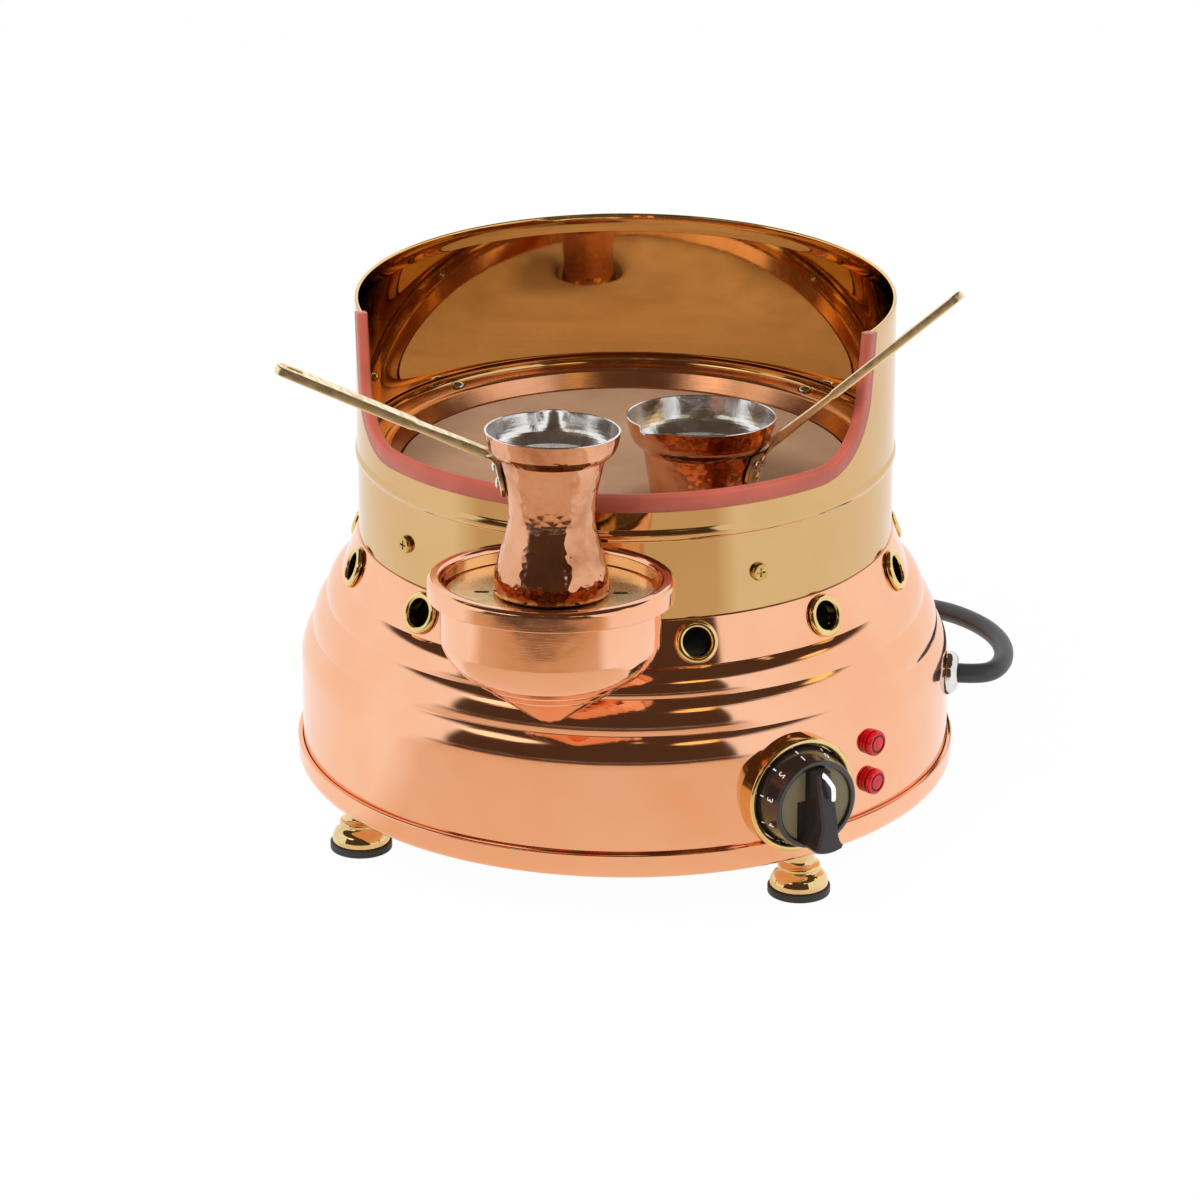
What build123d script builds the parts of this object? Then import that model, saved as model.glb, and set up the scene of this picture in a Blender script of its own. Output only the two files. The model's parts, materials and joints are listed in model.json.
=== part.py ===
from build123d import *
import math
import os

# Electric sand coffee heater: a spun copper base with a tray of hot sand inside a brass windshield drum,
# a small copper stand bowl at the front, and two tinned copper pots. Millimetres, +Z up, floor at z = 0.
# The machine's own front looks along -Y. An azimuth is counted from the front towards +X.

# Clearances
metal_gap = 0.15
loose_gap = 0.3
running_gap = 0.06
lift_gap = 0.35

# Feet
foot_height = 27.5
foot_inset = 16.5
foot_half_angle = 48.7
foot_turn = -3.4
pad_radius = 17.2
pad_height = 4.6
bell_radius = 16.0
bell_height = 10.2
collar_radius = 11.4
foot_neck_radius = 9.0
foot_stud_radius = 3.0
nut_height = 5.0
corner_sheet = 2.0
corner_width = 20.0
corner_height = 17.0
corner_slope_height = 8.0
corner_reach = 14.0

# Base pan
pan_overhang = 3.0
pan_height = 15.4
pan_corner = 7.0
pan_sheet = 1.2

# Outer shell, heights counted from the underside of the pan; each step is given by how far it lies inside
# the shell's wall and how far it climbs
shell_spread = 33.3
shell_sheet = 1.2
shell_wall_top = 62.0
step_insets = (6.6, 14.5, 23.3)
step_rises = (18.0, 36.0, 50.3)
step_bulges = (1.7, 2.0, 2.4)
cone_rise = 24.0
cone_clear_of_drum = 0.9
neck_clear_of_tray = 14.0

# Vent eyelets round the cone
vent_count = 12
vent_turn = -5.5
vent_outer_radius = 11.8
vent_hole_radius = 7.6
vent_barrel_sheet = 1.1
vent_lip_height = 3.0
vent_barrel_depth = 4.5

# Windshield drum
drum_radius = 148.7
drum_sheet = 1.0
bead_over_tray = 1.8
bead_half_height = 3.4
bead_bulge = 1.3
bead_step = 0.3
hem_depth = 10.5
cutout_half_angle = 67.4
cutout_lean = 9.0
cutout_over_tray = 24.3
cutout_depth = 65.4
cutout_corner = 38.0
cutout_side_azimuth = 60.0
cutout_turn = 3.3

# Windshield trim
trim_thick = 5.8
trim_lap = 8.5
trim_crown = 1.5

# Drum screws
drum_screw_rise = 21.2
drum_screw_half_angle = 40.7
drum_screw_turn = -1.8
screw_head_radius = 5.0
screw_head_height = 2.6
screw_radius = 2.0

# Sand tray and what carries it
tray_rise = 45.7
tray_sheet = 1.5
tray_flange_width = 11.6
tray_ridge_width = 5.0
tray_ridge_bulge = 1.5
tray_lip_inset = 4.3
tray_lip_drop = 8.4
tray_wall_lean = 7.2
tray_floor_round = 7.0
tray_depth = 48.5
tray_screw_count = 4
tray_screw_inset = 6.3
tray_screw_turn = 53.3
dome_screw_radius = 3.6
support_ring_sheet = 1.5
support_shelf_width = 10.2
support_ring_leg = 32.0
sand_drop = 9.2

# Heater under the tray
element_radius = 4.0
element_circle = 85.0
element_turn_degrees = 320.0
element_leg = 44.0
clamp_bar_width = 30.0
clamp_bar_height = 3.0
heater_stud_radius = 4.0
insulation_inset = 3.0
insulation_height = 12.0
shield_inset = 9.7
shield_sheet = 1.0
shield_edge = 6.0
shield_drop = 34.5
post_count = 4
post_circle = 112.0
post_radius = 4.0

# Knob, bezel and thermostat
knob_azimuth = 40.2
knob_height = 42.0
bezel_radius = 32.3
bezel_inner_radius = 28.8
bezel_depth = 9.0
bezel_floor = 1.4
skirt_radius = 28.0
skirt_front_radius = 24.7
knob_back = 5.4
knob_ring_depth = 23.0
knob_ring_width = 3.2
knob_recess = 2.5
grip_front = 37.0
grip_width = 9.4
grip_flare_width = 18.0
grip_top = 22.8
grip_bottom = 21.7
grip_slope_start = 14.5
grip_slope_fall = 1.15
pointer_width = 2.7
pointer_height = 0.3
pointer_line = ((1.9, 8.2), (1.4, 15.5), (-0.6, 19.4))
shaft_radius = 3.0
thermostat_radius = 21.0
thermostat_depth = 32.0
thermostat_plate = 1.5
thermostat_screw_spacing = 30.0
tab_side = 8.0
tab_height = 6.0
tab_length = 10.0
tab_width = 6.3
tab_thick = 0.8
capillary_radius = 1.2
bulb_radius = 3.0
bulb_length = 70.0
bulb_circle = 101.0
capillary_side = 58.0
capillary_step = 27.0
capillary_low = 75.0
capillary_drop = 15.5

# Indicator lamps
lamp_azimuth = 57.4
lamp_heights = (33.5, 56.1)
lamp_radius = 7.1
lamp_depth = 6.5
lamp_groove_radius = 6.4
lamp_barrel_radius = 5.0
lamp_body_depth = 22.0

# Stand bowl and its bracket, heights counted down from the crest of the rim
bowl_clear_of_drum = 2.6
bowl_over_tray = 4.0
bowl_tilt = 3.5
bowl_rim_overhang = 7.0
bowl_rim_height = 10.5
bowl_rim_round = 3.0
bowl_radius = 57.7
bowl_wall_depth = 34.0
bowl_depth = 79.5
bowl_sheet = 1.3
bowl_turn_in = 1.7
bowl_cone_inset = 10.1
plate_clear = 1.4
plate_sheet = 1.5
plate_ledge = 3.0
plate_slot_count = 6
plate_slot_inset = 19.0
plate_slot_length = 8.0
plate_slot_width = 3.4
bracket_width = 34.0
bracket_height = 16.0
bracket_bolt_spacing = 18.0

# Pots: radius and height of the outer line, from the base up
pot_sheet = 1.3
small_pot_line = ((26.5, 0.0), (30.4, 3.4), (29.8, 10.5), (27.8, 19.0), (23.1, 36.5), (22.5, 45.0),
                  (23.6, 55.0), (27.4, 72.9), (33.0, 78.0), (35.4, 87.5))
large_pot_line = ((32.0, 0.0), (36.4, 4.5), (35.6, 13.0), (32.0, 24.0), (28.0, 35.0), (27.4, 42.0),
                  (29.0, 52.0), (31.4, 67.0), (37.9, 73.5), (41.0, 85.0))
small_pot_handle_azimuth = -81.5
small_pot_spout_azimuth = 190.0
small_handle_rise = 22.0
small_handle_length = 114.0
large_pot_place = (51.5, -53.5)
large_pot_over_tray = 39.4
large_pot_tilt = 3.3
large_pot_handle_azimuth = 80.5
large_pot_spout_azimuth = -31.5
large_handle_rise = 42.0
large_handle_length = 137.0
spout_reach = 5.5
spout_depth = 16.0
handle_root_width = 6.0
handle_end_width = 9.6
handle_thick = 5.0
handle_slot_length = 9.0
handle_slot_width = 3.6
strap_thick = 2.6
rivet_radius = 3.4
rivet_head = 1.8
rivet_shank = 1.5
rivet_seat = 0.1
small_strap = {"low": 52.0, "high": 72.8, "root_height": 75.5, "width": 12.0}
large_strap = {"low": 48.0, "high": 70.0, "root_height": 76.0, "width": 20.0}
small_rivet_offsets = ((0.0, 59.0), (0.0, 68.0))
large_rivet_offsets = ((-5.6, 62.0), (5.6, 62.0), (0.0, 53.5))

# Power cord
cord_radius = 5.5
gland_azimuth = 93.0
gland_height = 56.0
gland_radius = 12.5
gland_depth = 8.0
gland_thread_radius = 9.5
inner_cord_length = 34.0
clamp_depth = 26.0
clamp_thick = 9.0
terminal_swing = 18.0
terminal_circle = 104.0
terminal_length = 40.0
terminal_width = 24.0
terminal_height = 18.0
terminal_pitch = 12.0
terminal_bore = 2.2
wire_radius = 1.6
wire_bend = 6.0
coil_turns_each_layer = 1.25
coil_outer_radius = 66.0
coil_gap = 0.6
coil_lift = 1.1
coil_end_run = 30.0
tie_width = 14.0
tie_thick = 0.8
tie_slack = 1.4
plug_radius = 18.0
plug_length = 34.0
plug_sleeve_length = 25.0
plug_sleeve_radius = 8.0
plug_pin_radius = 2.4
plug_pin_length = 19.0
plug_pin_spacing = 19.0

# The cord's way from the gland, round behind the machine and down to the floor, in the axis's own frame
cord_points = [
    (200.7, 10.5, 83.5),
    (208.3, 19.0, 83.4),
    (210.8, 37.0, 83.0),
    (207.5, 60.0, 82.0),
    (198.5, 83.0, 80.5),
    (184.0, 106.0, 78.0),
    (165.0, 130.0, 73.5),
    (143.0, 153.0, 66.0),
    (119.0, 173.0, 55.5),
    (93.0, 190.5, 42.5),
    (66.0, 205.5, 28.8),
    (38.5, 217.5, 17.0),
    (11.0, 226.5, 9.2),
    (-16.0, 231.0, 6.6),
    (-42.0, 231.0, 6.6),
]

# Heights above the floor and other values that follow from the sizes above
pan_z = foot_height
seat_gap = 0.02
shell_radius = drum_radius + shell_spread
pan_radius = shell_radius + pan_overhang
foot_circle = shell_radius - foot_inset
step_radii = tuple(shell_radius - inset for inset in step_insets)
step_heights = tuple(shell_wall_top + rise for rise in step_rises)
cone_top_radius = drum_radius + cone_clear_of_drum
cone_top_height = step_heights[2] + cone_rise
tray_height = cone_top_height + tray_rise
tray_floor = tray_height - tray_depth
shell_neck_top = tray_height - neck_clear_of_tray
drum_screw_height = cone_top_height + drum_screw_rise
bead_height = tray_height + bead_over_tray
cutout_bottom = tray_height + cutout_over_tray
drum_top = cutout_bottom + cutout_depth
support_ring_bottom = tray_height - support_ring_leg
shield_height = tray_floor - shield_drop
capillary_high = tray_floor - capillary_drop
bowl_crest = tray_height + bowl_over_tray
bowl_rim_radius = bowl_radius + bowl_rim_overhang
plate_radius = bowl_radius - bowl_sheet - plate_clear
plate_slot_circle = plate_radius - plate_slot_inset
large_pot_rim = tray_height + large_pot_over_tray
cone_slope = math.degrees(math.atan2(cone_top_height - step_heights[2], step_radii[2] - cone_top_radius))
cone_normal = 90.0 - cone_slope
vent_radius_on_cone = (cone_top_radius + step_radii[2]) / 2
vent_height = pan_z + (cone_top_height + step_heights[2]) / 2
neck_radius = drum_radius - drum_sheet - loose_gap
neck_inner = neck_radius - shell_sheet
trim_outer = drum_radius + trim_thick / 2 - drum_sheet / 2 + bead_step / 2
trim_inner = trim_outer - trim_thick
tray_rim_radius = drum_radius - drum_sheet - 2 * loose_gap
tray_ledge_radius = tray_rim_radius - tray_flange_width
tray_ridge_radius = tray_ledge_radius - tray_ridge_width
tray_lip_radius = tray_ridge_radius - tray_lip_inset
tray_foot_radius = tray_lip_radius - tray_wall_lean
tray_screw_circle = tray_rim_radius - tray_screw_inset
shield_radius = drum_radius - shield_inset
insulation_radius = shield_radius - insulation_inset
bowl_reach = drum_radius + bowl_clear_of_drum + bowl_rim_radius
plate_drop = bowl_rim_height - plate_sheet - seat_gap
tray_under = pan_z + tray_height - tray_sheet
coil_pitch = 2 * cord_radius + coil_gap
coil_z = cord_radius + coil_lift


def spin(section):
    """Turn a section, drawn in radius and height, into a solid round the vertical axis."""
    return revolve(Plane.XZ * section, Axis.Z)


def drawn(*corners):
    """A straight-sided section through the corners given."""
    return make_face(Polyline(*corners, close=True))


def ring(inner, outer, bottom, top):
    """A plain ring or, with no inner radius, a disc."""
    height = top - bottom
    body = Cylinder(outer, height)
    if inner > 0:
        body -= Cylinder(inner, height)
    return Pos(0, 0, bottom + height / 2) * body


def facing(azimuth, radius, height, tip=0.0):
    """A place on the casing whose own Z points outwards, tipped up from level by the angle given."""
    return Rot(0, 0, azimuth) * Pos(0, -radius, height) * Rot(90 - tip, 0, 0)


def bar(radius, start, end):
    """A round bar along the local Z between two distances."""
    return Pos(0, 0, (start + end) / 2) * Cylinder(radius, end - start)


def group(solids):
    return Compound(children=list(solids))


def offset_line(points, thickness):
    """The points moved to the left of their line by the thickness, with mitred corners."""
    normals = []
    for first, second in zip(points, points[1:]):
        along = (Vector(*second) - Vector(*first)).normalized()
        normals.append(Vector(-along.Y, along.X))
    moved = []
    for index, point in enumerate(points):
        before = normals[max(index - 1, 0)]
        after = normals[min(index, len(normals) - 1)]
        shift = (before + after) * (thickness / (1 + before.dot(after)))
        moved.append((point[0] + shift.X, point[1] + shift.Y))
    return moved


def curved_run(points, bulges, side):
    """Lines and arcs through the points; a bulge moves the middle of its run to the right of the line."""
    edges = []
    for first, second, bulge in zip(points, points[1:], bulges):
        start, end = Vector(*first), Vector(*second)
        if abs(bulge) < 1e-6:
            edges.append(Line(start, end))
            continue
        along = (end - start).normalized()
        middle = (start + end) * 0.5 + Vector(along.Y, -along.X) * bulge * side
        edges.append(ThreePointArc(start, middle, end))
    return edges


def sheet_section(points, bulges, thickness):
    """The section of a sheet whose outer line is given; the sheet lies to the left of that line."""
    inner = [(max(radius, 0.0), height) for radius, height in offset_line(points, thickness)]
    edges = curved_run(points, bulges, 1)
    edges.append(Line(points[-1], inner[-1]))
    edges += curved_run(inner[::-1], bulges[::-1], -1)
    edges.append(Line(inner[0], points[0]))
    return make_face(edges)


def foot_azimuths():
    return [foot_turn + side for side in (-foot_half_angle, foot_half_angle,
                                          180 - foot_half_angle, 180 + foot_half_angle)]


def foot_places():
    return [Rot(0, 0, azimuth) * Pos(0, -foot_circle, 0) for azimuth in foot_azimuths()]


def rubber_pads():
    pad = Pos(0, 0, pad_height / 2) * Cylinder(pad_radius, pad_height)
    pad = fillet(pad.edges().filter_by(GeomType.CIRCLE), 0.8)
    return group(place * pad for place in foot_places())


def brass_feet():
    """Bell foot on its pad: a bell, a collar, a waisted neck and the stud that goes up through the pan."""
    bell_top = pad_height + bell_height
    top = foot_height
    outline = [
        Line((0, pad_height), (bell_radius, pad_height)),
        ThreePointArc((bell_radius, pad_height), (bell_radius - 1.0, pad_height + bell_height * 0.6),
                      (collar_radius, bell_top)),
        Line((collar_radius, bell_top), (collar_radius, bell_top + 1.5)),
        Line((collar_radius, bell_top + 1.5), (foot_neck_radius, bell_top + 2.4)),
        ThreePointArc((foot_neck_radius, bell_top + 2.4), (foot_neck_radius - 0.8, (bell_top + 2.4 + top) / 2),
                      (foot_neck_radius, top)),
        Line((foot_neck_radius, top), (0, top)),
        Line((0, top), (0, pad_height)),
    ]
    foot = spin(make_face(outline)) + bar(foot_stud_radius, top - 1, top + pan_sheet + corner_sheet + 8)
    return group(place * foot for place in foot_places())


def foot_nuts():
    bottom = foot_height + pan_sheet + corner_sheet
    nut = Pos(0, 0, bottom) * extrude(RegularPolygon(foot_stud_radius * 1.9, 6), nut_height)
    nut -= bar(foot_stud_radius + running_gap, bottom - 1, bottom + nut_height + 1)
    return group(place * nut for place in foot_places())


def corner_brackets():
    """Angle brackets inside the shell: the foot's stud holds the level leg, the upright leg meets the shell."""
    wall = shell_radius - shell_sheet - loose_gap
    floor = pan_z + pan_sheet
    bend = pan_radius - pan_corner - corner_sheet
    line = [(wall, floor + corner_height), (wall, floor + corner_slope_height), (bend, floor),
            (foot_circle - corner_reach, floor)]
    section = sheet_section([(radius, height) for radius, height in line[::-1]], [0, 0, 0], corner_sheet)
    bracket = Rot(0, 0, -90) * (Plane.XZ * extrude(section, corner_width / 2, both=True))
    bracket &= ring(0, wall, floor, floor + 2 * corner_height)
    bracket -= Pos(0, -foot_circle, 0) * bar(foot_stud_radius + metal_gap, 0, floor + corner_height)
    return group(Rot(0, 0, azimuth) * bracket for azimuth in foot_azimuths())


def base_pan():
    inner_corner = pan_corner - pan_sheet
    bend = pan_radius - pan_corner
    slant = pan_corner * (1 - math.sqrt(0.5))
    inner_slant = inner_corner * (1 - math.sqrt(0.5))
    wall = pan_radius - pan_sheet
    outline = [
        Line((0, 0), (bend, 0)),
        ThreePointArc((bend, 0), (pan_radius - slant, slant), (pan_radius, pan_corner)),
        Line((pan_radius, pan_corner), (pan_radius, pan_height)),
        Line((pan_radius, pan_height), (wall, pan_height)),
        Line((wall, pan_height), (wall, pan_corner)),
        ThreePointArc((wall, pan_corner), (wall - inner_slant, pan_sheet + inner_slant), (bend, pan_sheet)),
        Line((bend, pan_sheet), (0, pan_sheet)),
        Line((0, pan_sheet), (0, 0)),
    ]
    pan = Pos(0, 0, pan_z) * spin(make_face(outline))
    hole = Pos(0, 0, pan_z) * Cylinder(foot_stud_radius + metal_gap, 10)
    for place in foot_places():
        pan -= place * hole
    return pan


def shell_line():
    """Outer line of the shell, from its foot in the pan to the neck inside the drum."""
    foot = pan_corner - math.sqrt((pan_corner - pan_sheet) ** 2 - (shell_radius - pan_radius + pan_corner) ** 2)
    points = [(shell_radius, pan_z + foot + 0.6), (shell_radius, pan_z + shell_wall_top)]
    points += [(radius, pan_z + height) for radius, height in zip(step_radii, step_heights)]
    points += [(cone_top_radius, pan_z + cone_top_height), (neck_radius, pan_z + cone_top_height),
               (neck_radius, pan_z + shell_neck_top)]
    bulges = [0, *step_bulges, 0, 0, 0]
    return points, bulges


def shell_envelope(grow):
    """What the shell and pan fill, grown outwards, to seat the pieces that stand on them."""
    points, bulges = shell_line()
    points = offset_line(points[:5], -grow)
    edges = curved_run(points, bulges[:4], 1)
    edges += [Line(points[-1], (0, points[-1][1])), Line((0, points[-1][1]), (0, points[0][1])),
              Line((0, points[0][1]), points[0])]
    return spin(make_face(edges)) + ring(0, pan_radius + grow, pan_z, pan_z + pan_height + grow)


def vent_places():
    return [facing(vent_turn + index * 360 / vent_count, vent_radius_on_cone, vent_height, cone_normal)
            for index in range(vent_count)]


def lamp_places():
    return [facing(lamp_azimuth, shell_radius, pan_z + height) for height in lamp_heights]


def knob_place():
    return facing(knob_azimuth, shell_radius, pan_z + knob_height)


def gland_place():
    return facing(gland_azimuth, shell_radius, pan_z + gland_height)


def drum_screw_places():
    angles = (-drum_screw_half_angle, drum_screw_half_angle, 180 - drum_screw_half_angle, 180 + drum_screw_half_angle)
    return [facing(drum_screw_turn + angle, drum_radius, pan_z + drum_screw_height) for angle in angles]


def bracket_bolt_places():
    height = pan_z + bowl_crest - plate_drop - bracket_height - 2
    swing = math.degrees(math.asin(bracket_bolt_spacing / 2 / drum_radius))
    return [facing(side * swing, drum_radius, height) for side in (-1, 1)]


def thermostat_screw_places():
    return [knob_place() * Pos(side * thermostat_screw_spacing / 2, 0, 0) for side in (-1, 1)]


def outer_shell():
    points, bulges = shell_line()
    shell = spin(sheet_section(points, bulges, shell_sheet))
    for place in vent_places():
        shell -= place * bar(vent_hole_radius + vent_barrel_sheet + metal_gap, -8, 6)
    for place in lamp_places():
        shell -= place * bar(lamp_barrel_radius + metal_gap, -8, 6)
    shell -= knob_place() * bar(shaft_radius + 2, -8, 6)
    for place in thermostat_screw_places():
        shell -= place * bar(screw_radius + metal_gap, -8, 6)
    shell -= gland_place() * bar(gland_thread_radius + metal_gap, -8, 6)
    for place in drum_screw_places() + bracket_bolt_places():
        shell -= place * bar(screw_radius + metal_gap, -6, 2)
    return shell


def vent_eyelets():
    """Rolled brass eyelet: a round lip outside, a barrel through the sheet and a small flare behind it."""
    barrel = vent_hole_radius + vent_barrel_sheet
    back = -vent_barrel_depth
    outline = [
        Line((vent_hole_radius, back), (vent_hole_radius, 1.2)),
        ThreePointArc((vent_hole_radius, 1.2), ((vent_hole_radius + vent_outer_radius) / 2 - 0.3, vent_lip_height),
                      (vent_outer_radius, 0.7)),
        Line((vent_outer_radius, 0.7), (vent_outer_radius - 0.3, 0.1)),
        Line((vent_outer_radius - 0.3, 0.1), (barrel, 0.1)),
        Line((barrel, 0.1), (barrel, back + 1.4)),
        Line((barrel, back + 1.4), (barrel + 1.1, back)),
        Line((barrel + 1.1, back), (vent_hole_radius, back)),
    ]
    eyelet = spin(make_face(outline))
    return group(place * eyelet for place in vent_places())


def cutout(grow):
    """The cut in the drum's front, grown on every side: level at the bottom, round corners, leaning sides."""
    bottom = pan_z + cutout_bottom - grow
    top = pan_z + drum_top + 30
    lean = math.tan(math.radians(cutout_lean))
    side = drum_radius * math.sin(math.radians(cutout_half_angle - cutout_side_azimuth))
    side += grow / math.cos(math.radians(cutout_lean))

    def side_at(height):
        return side - (pan_z + drum_top - height) * lean

    inner = -45.0
    corner = (side_at(bottom), bottom)
    face = make_face(Polyline((inner, bottom), corner, (side_at(top), top), (inner, top), close=True))
    sharp = face.vertices().sort_by_distance((corner[0], corner[1], 0))[0]
    face = fillet(sharp, cutout_corner + grow)
    prism = Pos(0, 0, drum_radius - 30) * extrude(face, 60)
    right = Rot(0, 0, cutout_side_azimuth) * Rot(90, 0, 0) * prism
    left = mirror(right, Plane.YZ)
    reach = 2 * drum_radius
    swing = math.radians(cutout_side_azimuth + math.degrees(math.asin(inner / drum_radius)) + 4)
    fan = make_face(Polyline((0, 0), (reach * math.sin(swing), -reach * math.cos(swing)), (0, -2.5 * reach),
                             (-reach * math.sin(swing), -reach * math.cos(swing)), close=True))
    return Rot(0, 0, cutout_turn) * (right + left + Pos(0, 0, bottom) * extrude(fan, top - bottom))


def windshield_drum():
    """Brass cylinder with a rolled bead, a hem turned inwards at the top and the cut-out at the front."""
    upper = drum_radius + bead_step
    points = [(drum_radius, pan_z + cone_top_height + 0.2), (drum_radius, pan_z + bead_height - bead_half_height),
              (upper, pan_z + bead_height + bead_half_height), (upper, pan_z + drum_top)]
    wall = spin(sheet_section(points, [0, bead_bulge, 0], drum_sheet))
    hem_inner = upper - 2.1 * drum_sheet
    hem = ring(hem_inner, upper - drum_sheet / 2, pan_z + drum_top - hem_depth, pan_z + drum_top)
    drum = wall + hem
    rim = [edge for edge in drum.edges().filter_by(GeomType.CIRCLE) if abs(edge.center().Z - pan_z - drum_top) < 0.01]
    drum = fillet(rim, drum_sheet * 0.8)
    drum -= cutout(0)
    for place in drum_screw_places() + bracket_bolt_places():
        drum -= place * bar(screw_radius + metal_gap, -3, 3)
    return drum


def windshield_trim():
    """Silicone channel along the edge of the cut-out, slotted for the sheet and its hem."""
    top = pan_z + drum_top + 0.8
    band = ring(trim_inner, trim_outer, pan_z + cutout_bottom - trim_lap - 5, top)
    band &= cutout(trim_lap)
    band -= cutout(-trim_crown)
    slot_inner = drum_radius + bead_step - 2.1 * drum_sheet - metal_gap
    slot = ring(slot_inner, drum_radius + bead_step + metal_gap, pan_z + cutout_bottom - trim_lap - 10, top + 5)
    return band - (slot - cutout(-metal_gap))


def cross_screw(length):
    """Pan head screw along the local Z with its head outside and a cross recess."""
    head = Pos(0, 0, screw_head_height / 2) * Cylinder(screw_head_radius, screw_head_height)
    head = fillet(head.edges().sort_by(Axis.Z)[-1], screw_head_height * 0.6)
    for turn in (0, 90):
        head -= Pos(0, 0, screw_head_height) * Rot(0, 0, turn) * Box(5.2, 1.1, 2.4)
    return head + bar(screw_radius, -length, 0.5)


def drum_screws():
    return group(place * Pos(0, 0, metal_gap) * cross_screw(9) for place in drum_screw_places())


def nut_on(place, start, size=3.6, height=3.0, bore=screw_radius):
    nut = Pos(0, 0, start) * extrude(RegularPolygon(size, 6), height)
    return place * (nut - bar(bore + running_gap, start - 1, start + height + 1))


def neck_stack_inner():
    """Depth behind the drum's face at which the support ring's upright leg ends."""
    return drum_radius - neck_inner + metal_gap + support_ring_sheet


def drum_nuts():
    start = -(neck_stack_inner() + metal_gap + 3.0)
    return group(nut_on(place, start) for place in drum_screw_places())


def tray_line():
    """Upper line of the tray, from the rim inwards to the middle."""
    lip = tray_height - tray_lip_drop
    points = [(tray_rim_radius, pan_z + tray_height), (tray_ledge_radius, pan_z + tray_height),
              (tray_ridge_radius, pan_z + tray_height), (tray_lip_radius, pan_z + lip),
              (tray_foot_radius, pan_z + tray_floor + tray_floor_round),
              (tray_foot_radius - tray_floor_round, pan_z + tray_floor),
              (0, pan_z + tray_floor)]
    bulges = [0, tray_ridge_bulge, 0, 0, -2.0, 0]
    return points, bulges


def tray_screw_places():
    return [Rot(0, 0, tray_screw_turn + index * 360 / tray_screw_count) * Pos(0, tray_screw_circle, pan_z + tray_height)
            for index in range(tray_screw_count)]


def sand_tray():
    points, bulges = tray_line()
    tray = spin(sheet_section(points, bulges, tray_sheet))
    for place in tray_screw_places():
        tray -= place * bar(screw_radius + metal_gap, -6, 3)
    return tray


def tray_support_ring():
    """Angle ring: its shelf carries the tray's flange, its leg is bolted to the drum and the shell's neck."""
    shelf_top = tray_under - 0.05
    outer = neck_inner - metal_gap
    shelf = ring(outer - support_shelf_width, outer, shelf_top - support_ring_sheet, shelf_top)
    leg = ring(outer - support_ring_sheet, outer, pan_z + support_ring_bottom, shelf_top)
    body = shelf + leg
    for place in drum_screw_places() + bracket_bolt_places():
        body -= place * bar(screw_radius + metal_gap, -9, 2)
    for place in tray_screw_places():
        body -= place * bar(screw_radius + metal_gap, -8, 3)
    return body


def tray_screws():
    dome = Sphere(dome_screw_radius) & Pos(0, 0, dome_screw_radius) * Box(20, 20, 2 * dome_screw_radius)
    dome = Pos(0, 0, metal_gap) * scale(dome, (1.2, 1.2, 0.75)) + bar(screw_radius, -9, 0.6)
    return group(place * dome for place in tray_screw_places())


def tray_nuts():
    under = -(tray_sheet + 0.05 + support_ring_sheet + metal_gap)
    return group(nut_on(place, under - 3.0, size=3.4) for place in tray_screw_places())


def large_pot_frame():
    """Where the large pot stands: its base in the sand, its axis leaning back a little."""
    height = large_pot_line[-1][1]
    return (Pos(large_pot_place[0], large_pot_place[1], pan_z + large_pot_rim) * Rot(-large_pot_tilt, 0, 0)
            * Pos(0, 0, -height))


def sand():
    """The sand fills the tray to just under the ridge, with the hollow that the large pot is pushed into."""
    top = pan_z + tray_height - sand_drop
    lip_z = pan_z + tray_height - tray_lip_drop
    foot_z = pan_z + tray_floor + tray_floor_round
    gap = loose_gap
    slope = (tray_lip_radius - tray_foot_radius) / (lip_z - foot_z)
    edge = tray_lip_radius - (lip_z - top) * slope - gap
    outline = drawn((0, pan_z + tray_floor + 0.05), (tray_foot_radius - tray_floor_round - gap, pan_z + tray_floor + 0.05),
                    (tray_foot_radius - gap, foot_z), (edge, top), (0, top))
    hollow = max(radius for radius, height in large_pot_line if height < 30) + lift_gap
    return spin(outline) - large_pot_frame() * bar(hollow, -lift_gap, 2 * large_pot_line[-1][1])


def heating_element():
    """One loop of sheathed element pressed under the tray, with its two cold legs turned down."""
    height = pan_z + tray_floor - tray_sheet - element_radius - metal_gap
    loop = revolve(Plane.XZ * (Pos(element_circle, height) * Circle(element_radius)), Axis.Z, element_turn_degrees)
    leg = Pos(element_circle, 0, height - element_leg / 2) * Cylinder(element_radius, element_leg)
    cap = Pos(element_circle, 0, height) * Sphere(element_radius)
    first = leg + cap
    body = loop + first + Rot(0, 0, element_turn_degrees) * first
    middle = 180 + (360 - element_turn_degrees) / 2
    return Rot(0, 0, middle) * body


def clamp_bar():
    """Steel bar that presses the element's loop against the tray."""
    top = pan_z + tray_floor - tray_sheet - 2 * element_radius - 2 * metal_gap
    body = Pos(0, 0, top - clamp_bar_height / 2) * Box(clamp_bar_width, 2 * element_circle + 24, clamp_bar_height)
    body = Rot(0, 0, 90) * body
    return body - bar(heater_stud_radius + metal_gap, top - 10, top + 10)


def heater_stud():
    """Stud under the tray and its nut, two separate solids."""
    top = pan_z + tray_floor - tray_sheet - 0.05
    bar_under = top - 2 * element_radius - 2 * metal_gap - clamp_bar_height
    stud = bar(heater_stud_radius, bar_under - nut_height - 6, top)
    nut = Pos(0, 0, bar_under - 0.05 - nut_height) * extrude(RegularPolygon(heater_stud_radius * 1.8, 6), nut_height)
    nut -= bar(heater_stud_radius + running_gap, bar_under - 20, bar_under + 5)
    return group([stud, nut])


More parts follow.
